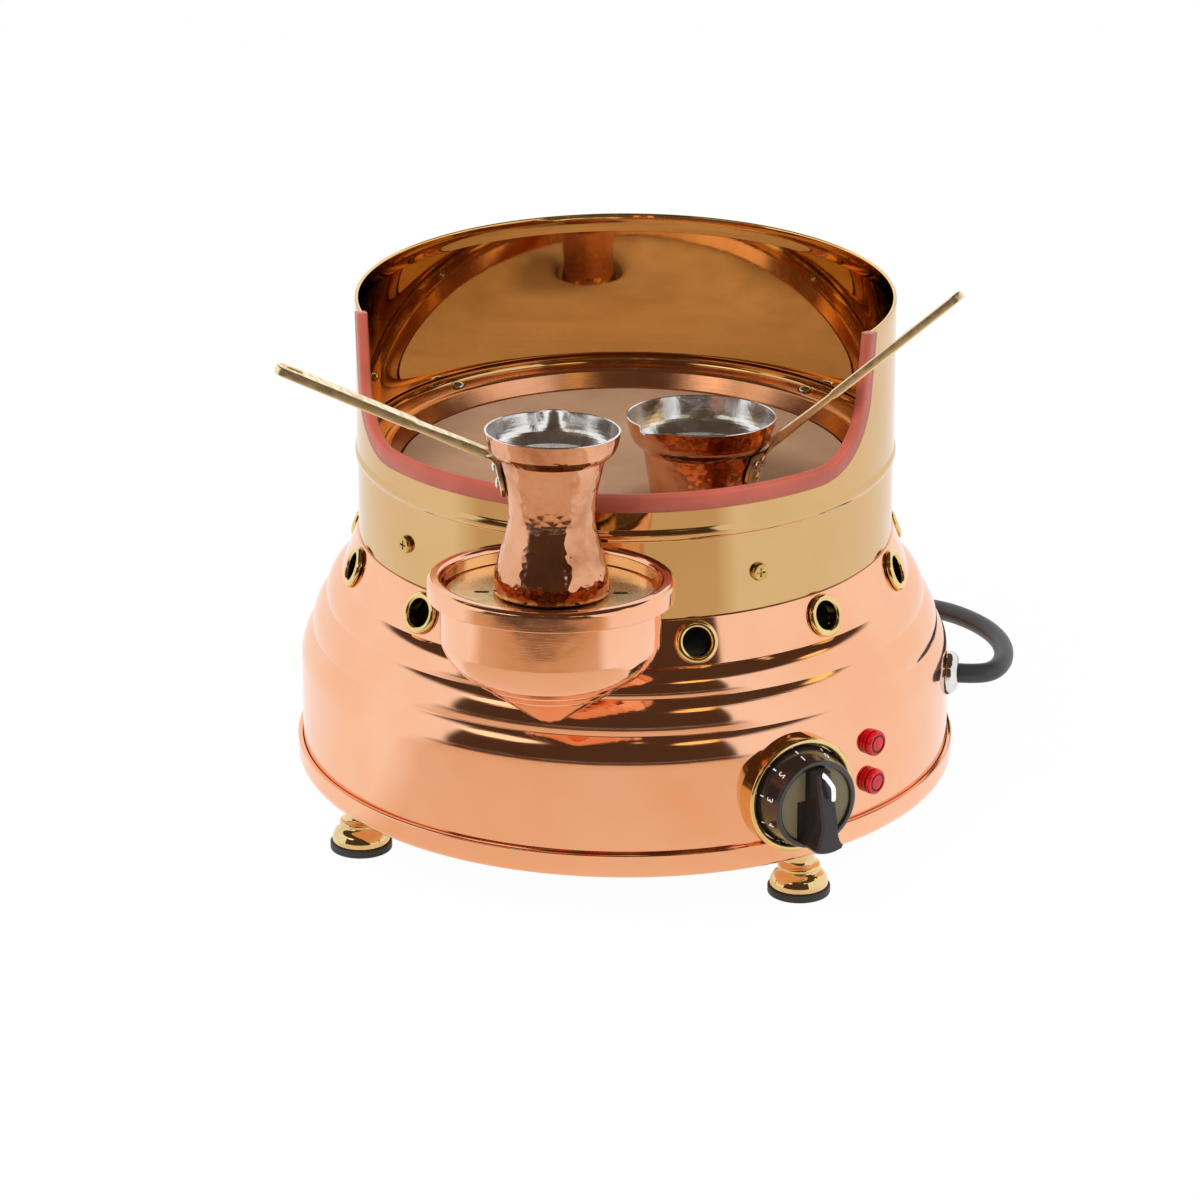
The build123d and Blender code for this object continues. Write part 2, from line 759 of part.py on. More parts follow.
def element_legs_cut():
    middle = 180 + (360 - element_turn_degrees) / 2
    cut = Pos(element_circle, 0, pan_z + shield_height) * Cylinder(element_radius + 3, 60)
    return Rot(0, 0, middle) * (cut + Rot(0, 0, element_turn_degrees) * cut)


def insulation_disc():
    bottom = pan_z + shield_height + shield_sheet + 0.05
    body = ring(heater_stud_radius + 6, insulation_radius, bottom, bottom + insulation_height)
    return body - element_legs_cut()


def heat_shield():
    """Steel disc under the insulation, with a turned-up edge."""
    bottom = pan_z + shield_height
    body = ring(0, shield_radius, bottom, bottom + shield_sheet)
    body += ring(shield_radius - shield_sheet, shield_radius, bottom, bottom + shield_edge)
    return body - element_legs_cut()


def shield_posts():
    bottom = pan_z + pan_sheet + seat_gap
    top = pan_z + shield_height - seat_gap
    return group(Rot(0, 0, 20 + index * 360 / post_count) * Pos(0, post_circle, 0) * bar(post_radius, bottom, top)
                 for index in range(post_count))


def knob_bezel():
    """Turned brass ring round the knob: its floor lies on the shell, its back edge follows the shell."""
    lip = (bezel_radius - bezel_inner_radius) / 2
    crest = bezel_depth
    outline = [
        Line((bezel_radius, -9), (bezel_radius, crest - lip)),
        ThreePointArc((bezel_radius, crest - lip), (bezel_radius - lip, crest), (bezel_inner_radius, crest - lip)),
        Line((bezel_inner_radius, crest - lip), (bezel_inner_radius, bezel_floor + 0.8)),
        Line((bezel_inner_radius, bezel_floor + 0.8), (shaft_radius + 4, bezel_floor + 0.8)),
        Line((shaft_radius + 4, bezel_floor + 0.8), (shaft_radius + 4, -1)),
        Line((shaft_radius + 4, -1), (bezel_radius - 3.0, -1)),
        Line((bezel_radius - 3.0, -1), (bezel_radius - 3.0, -9)),
        Line((bezel_radius - 3.0, -9), (bezel_radius, -9)),
    ]
    bezel = knob_place() * spin(make_face(outline))
    bezel -= shell_envelope(metal_gap)
    for place in thermostat_screw_places():
        bezel -= place * bar(screw_radius + metal_gap, -2, 6)
    return bezel


def grip_face(rise=0):
    """Side view of the grip's front, as height along it and depth: level, then sloping down towards its top."""
    fall = (grip_top - grip_slope_start) * grip_slope_fall
    level = grip_front + rise
    return ((0, level), (grip_slope_start, level), (grip_top, level - fall))


def knob_body():
    """Tapered skirt with a front ring and a recess, and the upright grip that widens at its foot."""
    ring_inner = skirt_front_radius - knob_ring_width
    floor = knob_ring_depth - knob_recess
    hub = shaft_radius + running_gap
    outline = [
        Line((skirt_radius - 2.2, knob_back), (skirt_radius, knob_back)),
        Line((skirt_radius, knob_back), (skirt_radius, knob_back + 2.5)),
        Line((skirt_radius, knob_back + 2.5), (skirt_front_radius, knob_ring_depth - 1)),
        Line((skirt_front_radius, knob_ring_depth - 1), (skirt_front_radius - 1, knob_ring_depth)),
        Line((skirt_front_radius - 1, knob_ring_depth), (ring_inner, knob_ring_depth)),
        Line((ring_inner, knob_ring_depth), (ring_inner, floor)),
        Line((ring_inner, floor), (0, floor)),
        Line((0, floor), (0, floor - 2.4)),
        Line((0, floor - 2.4), (hub, floor - 2.4)),
        Line((hub, floor - 2.4), (hub, knob_back)),
        Line((hub, knob_back), (hub + 3.5, knob_back)),
        Line((hub + 3.5, knob_back), (hub + 3.5, floor - 2.4)),
        Line((hub + 3.5, floor - 2.4), (ring_inner, floor - 2.4)),
        Line((ring_inner, floor - 2.4), (skirt_radius - 2.2, knob_back + 2)),
        Line((skirt_radius - 2.2, knob_back + 2), (skirt_radius - 2.2, knob_back)),
    ]
    skirt = spin(make_face(outline))
    half = grip_width / 2
    flare = grip_flare_width / 2
    front = [
        Line((half, grip_top - 2), (half, -grip_bottom * 0.35)),
        ThreePointArc((half, -grip_bottom * 0.35), (half + 1.2, -grip_bottom * 0.7), (flare, -grip_bottom + 1)),
        ThreePointArc((flare, -grip_bottom + 1), (0, -grip_bottom - 1.2), (-flare, -grip_bottom + 1)),
        ThreePointArc((-flare, -grip_bottom + 1), (-half - 1.2, -grip_bottom * 0.7), (-half, -grip_bottom * 0.35)),
        Line((-half, -grip_bottom * 0.35), (-half, grip_top - 2)),
        Line((-half, grip_top - 2), (half, grip_top - 2)),
    ]
    grip = Pos(0, 0, floor - 1) * extrude(make_face(front), grip_front - floor + 1)
    above = make_face(Polyline(*grip_face(), (grip_top, grip_front + 1), (0, grip_front + 1), close=True))
    grip -= Plane.YZ * extrude(above, 30, both=True)
    return knob_place() * (skirt + grip)


def knob_inset():
    """Two thin half-moon plates in the recess, one each side of the grip."""
    floor = knob_ring_depth - knob_recess
    disc = ring(0, skirt_front_radius - knob_ring_width - metal_gap, floor + 0.02, floor + 0.9)
    disc -= Pos(0, -10, floor) * Box(grip_flare_width + 4, 26, 8)
    disc -= Pos(0, 0, floor) * Box(grip_width + 2 * metal_gap + 2.6, 80, 8)
    return knob_place() * group(disc.solids())


def knob_pointer():
    """White line that starts on the slope at the grip's top and runs down its front."""
    stroke = Sketch()
    for start, end in zip(pointer_line, pointer_line[1:]):
        middle = ((start[0] + end[0]) / 2, (start[1] + end[1]) / 2)
        stroke += SlotCenterPoint(middle, end, pointer_width)
    layer = make_face(Polyline(*grip_face(0.02), *grip_face(0.02 + pointer_height)[::-1], close=True))
    return knob_place() * (extrude(stroke, grip_front + 5) & Plane.YZ * extrude(layer, 30, both=True))


def thermostat_shaft():
    """Shaft from the thermostat to the knob: it turns with the knob."""
    end = knob_ring_depth - knob_recess - 2.6
    return knob_place() * bar(shaft_radius, -thermostat_front(), end)


def thermostat_front():
    """Depth of the thermostat's front plate behind the shell's face."""
    wall = shell_radius - shell_sheet
    half = thermostat_screw_spacing / 2 + 5
    return shell_radius - math.sqrt(wall ** 2 - half ** 2) + metal_gap


def thermostat_body():
    """Control body behind the shell with its mounting plate, two terminals and the capillary's collar."""
    front = -thermostat_front()
    plate = Pos(0, 0, front - thermostat_plate / 2) * Box(thermostat_screw_spacing + 10, 16, thermostat_plate)
    case = bar(thermostat_radius, front - thermostat_plate - thermostat_depth, front - thermostat_plate)
    back = front - thermostat_plate - thermostat_depth
    body = plate + case
    for side in (-1, 1):
        body += Pos(side * tab_side, tab_height, back - tab_length / 2) * Box(tab_width, tab_thick, tab_length)
        body -= Pos(side * thermostat_screw_spacing / 2, 0, 0) * bar(screw_radius + metal_gap, front - 8, front + 2)
    body -= bar(shaft_radius + running_gap, front - 12, front + 2)
    return knob_place() * body


def thermostat_screws():
    floor = bezel_floor + 0.8 + metal_gap
    tip = thermostat_front() + thermostat_plate + floor + 5
    head = bar(screw_head_radius * 0.75, 0, 1.8)
    screw = Pos(0, 0, floor) * (head + bar(screw_radius, -tip, 0.5))
    return group(place * screw for place in thermostat_screw_places())


def capillary_and_bulb():
    """Thin copper tube from the thermostat up to the sensing bulb clipped under the tray's edge."""
    back = shell_radius - thermostat_front() - thermostat_plate - thermostat_depth
    far = bulb_circle + capillary_step
    start_z = pan_z + knob_height - 8
    bulb_z = pan_z + tray_floor - tray_sheet - bulb_radius - metal_gap
    corners = [(12, -back, start_z), (12, -back + 18, start_z), (capillary_side, -far, pan_z + capillary_low),
               (capillary_side, -far, pan_z + capillary_high), (capillary_side - 8, -bulb_circle, bulb_z),
               (bulb_length / 2, -bulb_circle, bulb_z)]
    path = FilletPolyline(*corners, radius=6)
    tube = sweep(Plane(origin=path @ 0, z_dir=path % 0) * Circle(capillary_radius), path=path)
    bulb = Pos(0, -bulb_circle, bulb_z) * Rot(0, 90, 0) * Cylinder(bulb_radius, bulb_length)
    return Rot(0, 0, knob_azimuth) * (tube + bulb)


def lamp_lenses():
    """Red cap: a base flange on the shell, a groove and a domed front."""
    edge = lamp_radius
    outline = [
        Line((0, -5), (lamp_barrel_radius, -5)),
        Line((lamp_barrel_radius, -5), (lamp_barrel_radius, metal_gap)),
        Line((lamp_barrel_radius, metal_gap), (edge, metal_gap)),
        Line((edge, metal_gap), (edge, lamp_depth * 0.38)),
        Line((edge, lamp_depth * 0.38), (lamp_groove_radius, lamp_depth * 0.42)),
        Line((lamp_groove_radius, lamp_depth * 0.42), (lamp_groove_radius, lamp_depth * 0.5)),
        Line((lamp_groove_radius, lamp_depth * 0.5), (edge, lamp_depth * 0.54)),
        Line((edge, lamp_depth * 0.54), (edge, lamp_depth - 1.6)),
        ThreePointArc((edge, lamp_depth - 1.6), (edge - 0.6, lamp_depth - 0.5), (edge - 2, lamp_depth)),
        Line((edge - 2, lamp_depth), (0, lamp_depth)),
        Line((0, lamp_depth), (0, -5)),
    ]
    lens = spin(make_face(outline))
    return group(place * lens for place in lamp_places())


def lamp_bodies():
    """Lamp barrel behind the lens with its two blade terminals."""
    start = -5 - metal_gap
    barrel = bar(lamp_barrel_radius, start - lamp_body_depth, start)
    for side in (-1, 1):
        barrel += Pos(side * 2.4, 0, start - lamp_body_depth - 4) * Box(0.8, 4.8, 10)
    return group(place * barrel for place in lamp_places())


def lamp_nuts():
    start = -(shell_sheet + 0.3 + 2.5)
    nut = bar(lamp_barrel_radius + 2.6, start, start + 2.5) - bar(lamp_barrel_radius + running_gap, start - 1, start + 4)
    return group(place * nut for place in lamp_places())


def bowl_frame():
    """The bowl's own frame: origin at the crest of its rim, leaning back a little towards the drum."""
    return Pos(0, -bowl_reach, pan_z + bowl_crest) * Rot(-bowl_tilt, 0, 0)


def bowl_wall_line():
    """Outer line of the bowl under its rim, from the tip up."""
    return [(0.0, -bowl_depth), (2.6, -bowl_depth + 0.2), (5.4, -bowl_depth + 1.0), (9.6, -bowl_depth + 3.2),
            (25.8, -bowl_depth + 14.3), (bowl_radius - bowl_cone_inset, -bowl_depth + 29.7),
            (bowl_radius - bowl_turn_in, -bowl_wall_depth - 5.0),
            (bowl_radius, -bowl_wall_depth), (bowl_radius, -bowl_rim_height)]


def stand_bowl():
    """Spun copper bowl: thick rolled rim, straight wall, cone down to a rounded tip."""
    points = bowl_wall_line()
    bulges = [0, 0, 0, 0, 0, 0.9, 0.2, 0]
    wall = spin(sheet_section(points, bulges, bowl_sheet))
    rim = ring(bowl_radius - bowl_sheet, bowl_rim_radius, -bowl_rim_height, 0)
    rim = fillet(rim.edges().filter_by(GeomType.CIRCLE).group_by(Axis.Z)[-1], bowl_rim_round)
    ledge = ring(plate_radius - plate_ledge, bowl_radius - bowl_sheet / 2, -bowl_rim_height - bowl_sheet,
                 -bowl_rim_height)
    bowl = bowl_frame() * (wall + rim + ledge)
    for place in bowl_screw_places():
        bowl -= place * bar(screw_radius + metal_gap, -8, 6)
    return bowl


def bowl_solid(grow):
    """The bowl's outside as a plain solid, grown by a clearance."""
    points = [(radius + (grow if radius > 0 else 0), height - (grow if index == 0 else 0))
              for index, (radius, height) in enumerate(bowl_wall_line())]
    points += [(bowl_rim_radius + grow, -bowl_rim_height - grow), (bowl_rim_radius + grow, grow), (0, grow)]
    points[-4] = (points[-4][0], -bowl_rim_height - grow)
    return bowl_frame() * spin(drawn(*points))


def bracket_bolt_height():
    return pan_z + bowl_crest - plate_drop - bracket_height - 2


def bowl_screw_places():
    """Two screws from inside the bowl into the bracket: their own Z points from the bracket into the bowl."""
    depth = -(bowl_crest + pan_z - bracket_bolt_height()) / math.cos(math.radians(bowl_tilt))
    swing = math.degrees(math.asin(bracket_bolt_spacing / 4 / bowl_radius))
    frame = bowl_frame() * Pos(0, 0, depth)
    return [frame * Rot(0, 0, 180 + side * swing) * Pos(0, -(bowl_radius - bowl_sheet), 0) * Rot(-90, 0, 0)
            for side in (-1, 1)]


def bowl_bracket():
    """Cast block between the drum and the bowl's back, shaped to both."""
    inner = drum_radius + metal_gap
    block = Pos(0, -(inner + 10), bracket_bolt_height()) * Box(bracket_width, 34, bracket_height)
    block -= ring(0, inner, 0, 400)
    block -= bowl_solid(metal_gap)
    block &= Pos(0, -(inner + 10), bracket_bolt_height()) * Box(bracket_width, 40, bracket_height)
    near = Pos(0, -bowl_reach, bracket_bolt_height()) * Box(400, 2 * (bowl_reach - inner - 12), 100)
    block -= near
    for place in bracket_bolt_places():
        block -= place * bar(screw_radius + running_gap, -2, 6)
    for place in bowl_screw_places():
        block -= place * bar(screw_radius + running_gap, -6, 2)
    return block


def bracket_bolts():
    """Bolts from inside the drum into the bracket, heads behind the support ring's leg."""
    back = -(neck_stack_inner() + metal_gap)
    bolt = bar(screw_radius, back - 1, 5) + bar(screw_head_radius * 0.8, back - 2.5, back)
    return group(place * bolt for place in bracket_bolt_places())


def bowl_screws():
    screw = bar(screw_radius, -5, 1) + bar(screw_head_radius * 0.8, metal_gap, 2.2)
    return group(place * screw for place in bowl_screw_places())


def drip_plate():
    """Perforated brass plate that rests on the ledge inside the bowl."""
    top = -plate_drop
    plate = ring(0, plate_radius, top - plate_sheet, top)
    for index in range(plate_slot_count):
        slot = extrude(SlotOverall(plate_slot_length, plate_slot_width), 8, both=True)
        plate -= Rot(0, 0, 11 + index * 360 / plate_slot_count) * Pos(plate_slot_circle, 0, top) * slot
    return bowl_frame() * plate


def small_pot_frame():
    return bowl_frame() * Pos(0, 0, -plate_drop + 0.02)


def pot_body(line, spout_azimuth):
    """Raised copper pot: a thin wall after the line given, with a pinched spout at the rim."""
    height = line[-1][1]
    rim = line[-1][0]
    wall = pot_sheet
    outer_edges = [Line((0, 0), line[0]), Spline(*line[:8]), Spline(*line[7:]),
                   Line(line[-1], (0, height)), Line((0, height), (0, 0))]
    inner_points = [(radius - wall, height_at) for radius, height_at in line]
    inner_points[0] = (line[0][0] - wall, wall)
    inner_edges = [Line((0, wall), inner_points[0]), Spline(*inner_points[:8]), Spline(*inner_points[7:]),
                   Line(inner_points[-1], (0, height)), Line((0, height), (0, wall))]
    outer = spin(make_face(outer_edges))
    inner = spin(make_face(inner_edges))

    def beak(grow):
        """Half cone that widens upwards and meets the rim at the spout's tip."""
        top = Pos(0, -(rim - 7), height) * Circle(7 + spout_reach + grow)
        low = Pos(0, -(rim - 9), height - spout_depth) * Circle(1.5 + grow)
        return Rot(0, 0, spout_azimuth) * loft([low, top])

    outer += beak(wall)
    inner += beak(0)
    return outer - inner


def pot_strap(line, low, high, root_height, width):
    """Brass strap in the pot's own frame at its front: it follows the wall and bends out to the handle's root."""
    def radius_at(height):
        for (radius_a, height_a), (radius_b, height_b) in zip(line, line[1:]):
            if height_a <= height <= height_b:
                return radius_a + (radius_b - radius_a) * (height - height_a) / (height_b - height_a)
        return line[-1][0]

    steps = 6
    wall = []
    for index in range(steps + 1):
        height = low + (high - low) * index / steps
        wall.append((radius_at(height) + 0.5, height))
    root = (line[-1][0] + 1.0, root_height)
    inner = wall + [root]
    outer = [(radius + strap_thick, height - 0.4) for radius, height in inner]
    face = make_face(Polyline(*inner, *outer[::-1], close=True))
    return Rot(0, 0, -90) * (Plane.XZ * extrude(face, width / 2, both=True))


def pot_handle(line, low, high, root_height, width, rise, length, azimuth):
    """Strap and tapered handle with a hanging slot near its round end."""
    root = line[-1][0] + 1.5
    half_root, half_end = handle_root_width / 2, handle_end_width / 2
    reach = length - half_end
    plan = make_face(Polyline((0, half_root), (reach, half_end), (reach, -half_end), (0, -half_root), close=True))
    blade = extrude(plan, handle_thick / 2, both=True)
    blade += Pos(reach, 0, 0) * Cylinder(half_end, handle_thick)
    slot = Pos(reach - handle_slot_length / 2, 0, 0) * extrude(SlotOverall(handle_slot_length, handle_slot_width),
                                                             handle_thick, both=True)
    blade -= slot
    placed = Rot(0, 0, -90) * Pos(root, 0, root_height) * Rot(0, -rise, 0) * blade
    return Rot(0, 0, azimuth) * (pot_strap(line, low, high, root_height, width) + placed)


def rivet_places(line, offsets, azimuth):
    """Seats of the rivets on the strap, given as sideways offset and height, with their grip lengths."""
    seats = []
    for side, height in offsets:
        for (radius_a, height_a), (radius_b, height_b) in zip(line, line[1:]):
            if height_a <= height <= height_b:
                radius = radius_a + (radius_b - radius_a) * (height - height_a) / (height_b - height_a)
        face = radius + 0.5 + strap_thick + rivet_seat
        sunk = radius - math.sqrt(radius ** 2 - side ** 2)
        grip = face - radius + sunk + pot_sheet + 1.0
        seats.append((Rot(0, 0, azimuth) * Pos(side, -face, height) * Rot(90, 0, 0), grip))
    return seats


def pot_rivets(seats):
    """Round-headed rivets with a flat button inside the pot."""
    solids = []
    for place, grip in seats:
        head = Sphere(rivet_radius) & Pos(0, 0, rivet_radius) * Box(20, 20, 2 * rivet_radius)
        head = Pos(0, 0, 0.05) * scale(head, (1, 1, rivet_head / rivet_radius))
        rivet = head + bar(rivet_shank, -grip, 0.3) + bar(rivet_shank + 1.2, -grip - 1.0, -grip)
        solids.append(place * rivet)
    return solids


def pot_pieces(line, frame, spout_azimuth, strap, offsets, rise, length, azimuth):
    """A pot's body, its handle and its rivets, each standing in the machine."""
    seats = rivet_places(line, offsets, azimuth)
    body = pot_body(line, spout_azimuth)
    handle = pot_handle(line, **strap, rise=rise, length=length, azimuth=azimuth) - body
    for place, grip in seats:
        hole = place * bar(rivet_shank + running_gap, -grip - 0.5, 2)
        body -= hole
        handle -= hole
        handle -= place * bar(rivet_radius + 0.3, 0, 8)
    return frame * body, frame * handle, group(frame * rivet for rivet in pot_rivets(seats))


def small_pot_pieces():
    return pot_pieces(small_pot_line, small_pot_frame(), small_pot_spout_azimuth, small_strap, small_rivet_offsets,
                      small_handle_rise, small_handle_length, small_pot_handle_azimuth)


def large_pot_pieces():
    return pot_pieces(large_pot_line, large_pot_frame(), large_pot_spout_azimuth, large_strap, large_rivet_offsets,
                      large_handle_rise, large_handle_length, large_pot_handle_azimuth)


def cord_gland():
    """Chrome dome outside the shell with its thread through the sheet."""
    bore = cord_radius + 0.3
    outline = [
        Line((bore, -12), (gland_thread_radius, -12)),
        Line((gland_thread_radius, -12), (gland_thread_radius, metal_gap)),
        Line((gland_thread_radius, metal_gap), (gland_radius, metal_gap)),
        Line((gland_radius, metal_gap), (gland_radius, 2.2)),
        ThreePointArc((gland_radius, 2.2), (gland_radius - 2.0, 5.9), (cord_radius + 1.6, gland_depth)),
        Line((cord_radius + 1.6, gland_depth), (bore, gland_depth)),
        Line((bore, gland_depth), (bore, -12)),
    ]
    body = spin(make_face(outline))
    return gland_place() * body


def gland_nut():
    start = -(shell_sheet + 1.0 + 4.0)
    nut = Pos(0, 0, start) * extrude(RegularPolygon(gland_thread_radius * 1.35, 6), 4.0)
    return gland_place() * (nut - bar(gland_thread_radius + running_gap, start - 1, start + 6))


def inner_cord():
    """The cord's end inside the casing, from the gland's bore to the clamp."""
    return gland_place() * bar(cord_radius, -inner_cord_length, gland_depth - seat_gap)


def cord_clamp():
    """Saddle on a post that grips the cord inside the casing."""
    place = gland_place() * Pos(0, 0, -clamp_depth)
    saddle = place * Box(2 * cord_radius + 12, 2 * cord_radius + 6, clamp_thick)
    saddle -= place * Cylinder(cord_radius + 0.1, 20)
    centre = place.position
    bottom = pan_z + pan_sheet + seat_gap
    top = centre.Z - cord_radius - 2.9
    post = Pos(centre.X, centre.Y, (bottom + top) / 2) * Box(10, 10, top - bottom)
    return saddle + post


def cord_path():
    exit_point = (gland_place() * Pos(0, 0, gland_depth)).position
    route = [Vector(exit_point.X, exit_point.Y, exit_point.Z)] + [Vector(*point) for point in cord_points]
    radii = []
    for before, corner, after in zip(route, route[1:], route[2:]):
        turn = (corner - before).get_angle(after - corner)
        shorter = min((corner - before).length, (after - corner).length)
        radii.append(0.45 * shorter / math.tan(math.radians(turn / 2)))
    path = FilletPolyline(*route, radius=radii)
    print("cord radii:", [round(radius, 1) for radius in radii])
    return path


def power_cord():
    path = cord_path()
    tube = sweep(Plane(origin=path @ 0, z_dir=path % 0) * Circle(cord_radius), path=path)
    expected = math.pi * cord_radius ** 2 * path.length
    print("cord length:", round(path.length, 1), "volume over section times length:", round(tube.volume / expected, 5))
    return tube


def coil_centre():
    last = cord_points[-1]
    return Vector(last[0] - 2 * cord_radius, last[1] + coil_outer_radius, 0)


def coil_point(turns):
    """Middle of the cord in the coil after so many turns, clockwise from its front."""
    each = coil_turns_each_layer
    deepest = each + 0.25
    radius = coil_outer_radius - coil_pitch * (deepest - abs(turns - deepest))
    if turns < each:
        height = coil_z
    elif turns > each + 0.5:
        height = coil_z + coil_pitch
    else:
        part = (turns - each) / 0.5
        height = coil_z + coil_pitch * (part * part * (3 - 2 * part))
    angle = math.radians(-90 - 360 * turns)
    centre = coil_centre()
    return Vector(centre.X + radius * math.cos(angle), centre.Y + radius * math.sin(angle), height)


def arc_from(start, direction, end):
    """The arc that leaves a point along its direction and ends at the other."""
    chord = end - start
    along = chord.normalized()
    side = direction - along * direction.dot(along)
    sagitta = chord.length / 2 * math.tan(math.radians(direction.get_angle(along)) / 2)
    return ThreePointArc(start, (start + end) * 0.5 + side.normalized() * sagitta, end)


def biarc(start, start_dir, end, end_dir):
    """Two arcs that leave one point along its direction and reach the next along its own."""
    span = end - start
    both = start_dir + end_dir
    a = 2 * (1 - start_dir.dot(end_dir))
    b = 2 * span.dot(both)
    c = -span.dot(span)
    reach = (-b + math.sqrt(b * b - 4 * a * c)) / (2 * a)
    middle = (start + end) * 0.5 + (start_dir - end_dir) * (reach / 2)
    return [arc_from(start, start_dir, middle), arc_from(end, end_dir * -1, middle)]


def coil_path():
    total = 2 * coil_turns_each_layer + 0.5
    quarters = round(total * 4)
    small = 1e-4
    points = [coil_point(index / 4) for index in range(quarters + 1)]
    dirs = []
    for index in range(quarters + 1):
        turns = index / 4
        dirs.append((coil_point(turns + small) - coil_point(turns - small)).normalized())
    dirs[0] = Vector(-1, 0, 0)
    dirs[-1] = Vector(-1, 0, 0)
    edges = [Line(points[0] + Vector(2 * cord_radius, 0, 0), points[0])]
    for index in range(quarters):
        edges += biarc(points[index], dirs[index], points[index + 1], dirs[index + 1])
    edges.append(Line(points[-1], points[-1] + Vector(-coil_end_run, 0, 0)))
    return Wire(edges)


def least_gap(path, diameter):
    """Smallest gap of the tube to itself, measured between points at least half a turn apart."""
    count = 900
    points = [path @ (index / count) for index in range(count + 1)]
    step = path.length / count
    apart = int(coil_outer_radius * math.pi * 0.6 / step)
    least = min((points[i] - points[j]).length for i in range(0, count + 1, 2) for j in range(i + apart, count + 1, 2))
    return least - diameter


def cord_coil():
    path = coil_path()
    tube = sweep(Plane(origin=path @ 0, z_dir=path % 0) * Circle(cord_radius), path=path)
    expected = math.pi * cord_radius ** 2 * path.length
    print("coil length:", round(path.length, 1), "volume ratio:", round(tube.volume / expected, 5),
          "least gap:", round(least_gap(path, 2 * cord_radius), 2))
    return tube


def coil_tie():
    """Strap round the bundle of turns, three fifths of a turn round the coil."""
    turn = 0.6
    angle = -90 - 360 * turn
    deepest = coil_turns_each_layer + 0.25
    outer = coil_outer_radius - coil_pitch * (1 - turn) + cord_radius + tie_slack
    inner = coil_outer_radius - coil_pitch * (2 * deepest - 1 - turn) - cord_radius - tie_slack
    bottom = coil_z - cord_radius - 0.2
    top = coil_z + coil_pitch + cord_radius + 0.4
    width, height = outer - inner, top - bottom
    frame = RectangleRounded(width + 2 * tie_thick, height + 2 * tie_thick, 4.0)
    frame -= RectangleRounded(width, height, 4.0 - tie_thick)
    strap = Plane.XZ * extrude(frame, tie_width / 2, both=True)
    centre = coil_centre()
    return Pos(centre.X, centre.Y, (bottom + top) / 2) * Rot(0, 0, angle) * Pos((outer + inner) / 2, 0, 0) * strap


def plug_place():
    """Where the coil's end meets the plug's sleeve; the local Z runs on along the cord."""
    end = coil_point(2 * coil_turns_each_layer + 0.5)
    return Pos(end.X - coil_end_run, end.Y, end.Z) * Rot(0, -90, 0)


def mains_plug():
    """Moulded plug: tapered sleeve, round body with a grip and a flat front."""
    sleeve_end = plug_sleeve_length
    body_end = sleeve_end + plug_length
    outline = [
        Line((0, 0.02), (cord_radius + 1.2, 0.02)),
        Line((cord_radius + 1.2, 0.02), (plug_sleeve_radius, sleeve_end)),
        ThreePointArc((plug_sleeve_radius, sleeve_end), (plug_radius * 0.78, sleeve_end + plug_length * 0.18),
                      (plug_radius, sleeve_end + plug_length * 0.55)),
        Line((plug_radius, sleeve_end + plug_length * 0.55), (plug_radius, body_end)),
        Line((plug_radius, body_end), (0, body_end)),
        Line((0, body_end), (0, 0.02)),
    ]
    body = spin(make_face(outline))
    for side in (-1, 1):
        body -= Pos(0, side * plug_pin_spacing / 2, 0) * bar(plug_pin_radius + running_gap, body_end - 10, body_end + 1)
        body -= Pos(side * plug_radius, 0, body_end - 5) * Box(6, 7, 18)
    return plug_place() * body


def plug_pins():
    body_end = plug_sleeve_length + plug_length
    pin = bar(plug_pin_radius, body_end - 9, body_end + plug_pin_length)
    pin = fillet(pin.edges().sort_by(Axis.Z)[-1], 1.2)
    return group(plug_place() * Pos(0, side * plug_pin_spacing / 2, 0) * pin for side in (-1, 1))


def terminal_place():
    """Middle of the terminal block on the pan's floor; its own X points to the machine's axis."""
    middle = pan_z + pan_sheet + seat_gap + terminal_height / 2
    return Rot(0, 0, gland_azimuth - terminal_swing) * Pos(0, -terminal_circle, middle) * Rot(0, 0, 90)


def terminal_block():
    """Ceramic block with three holes through it, each with a clamping screw's hole at both ends."""
    block = Box(terminal_length, terminal_width, terminal_height)
    for index in (-1, 0, 1):
        block -= Pos(index * terminal_pitch, 0, 2) * Rot(90, 0, 0) * Cylinder(terminal_bore, 2 * terminal_width)
        for side in (-5, 5):
            block -= Pos(index * terminal_pitch, side, terminal_height / 2) * Cylinder(terminal_bore - 0.2, 8)
    return terminal_place() * block


def earth_stud():
    """Stud on the pan's floor with its nut."""
    bottom = pan_z + pan_sheet + seat_gap
    place = Rot(0, 0, gland_azimuth + 24) * Pos(0, -128, 0)
    stud = bar(5, bottom, bottom + 2) + bar(2.0, bottom, bottom + 14)
    nut = Pos(0, 0, bottom + 5) * extrude(RegularPolygon(4.0, 6), 3.2)
    nut -= bar(2.0 + running_gap, bottom, bottom + 20)
    return group([place * stud, place * nut])


def wire(*corners):
    path = FilletPolyline(*corners, radius=wire_bend)
    return sweep(Plane(origin=path @ 0, z_dir=path % 0) * Circle(wire_radius), path=path)


def spot(place, x, y, z):
    """A point of a place's own frame, in the machine's frame."""
    return (place * Pos(x, y, z)).position


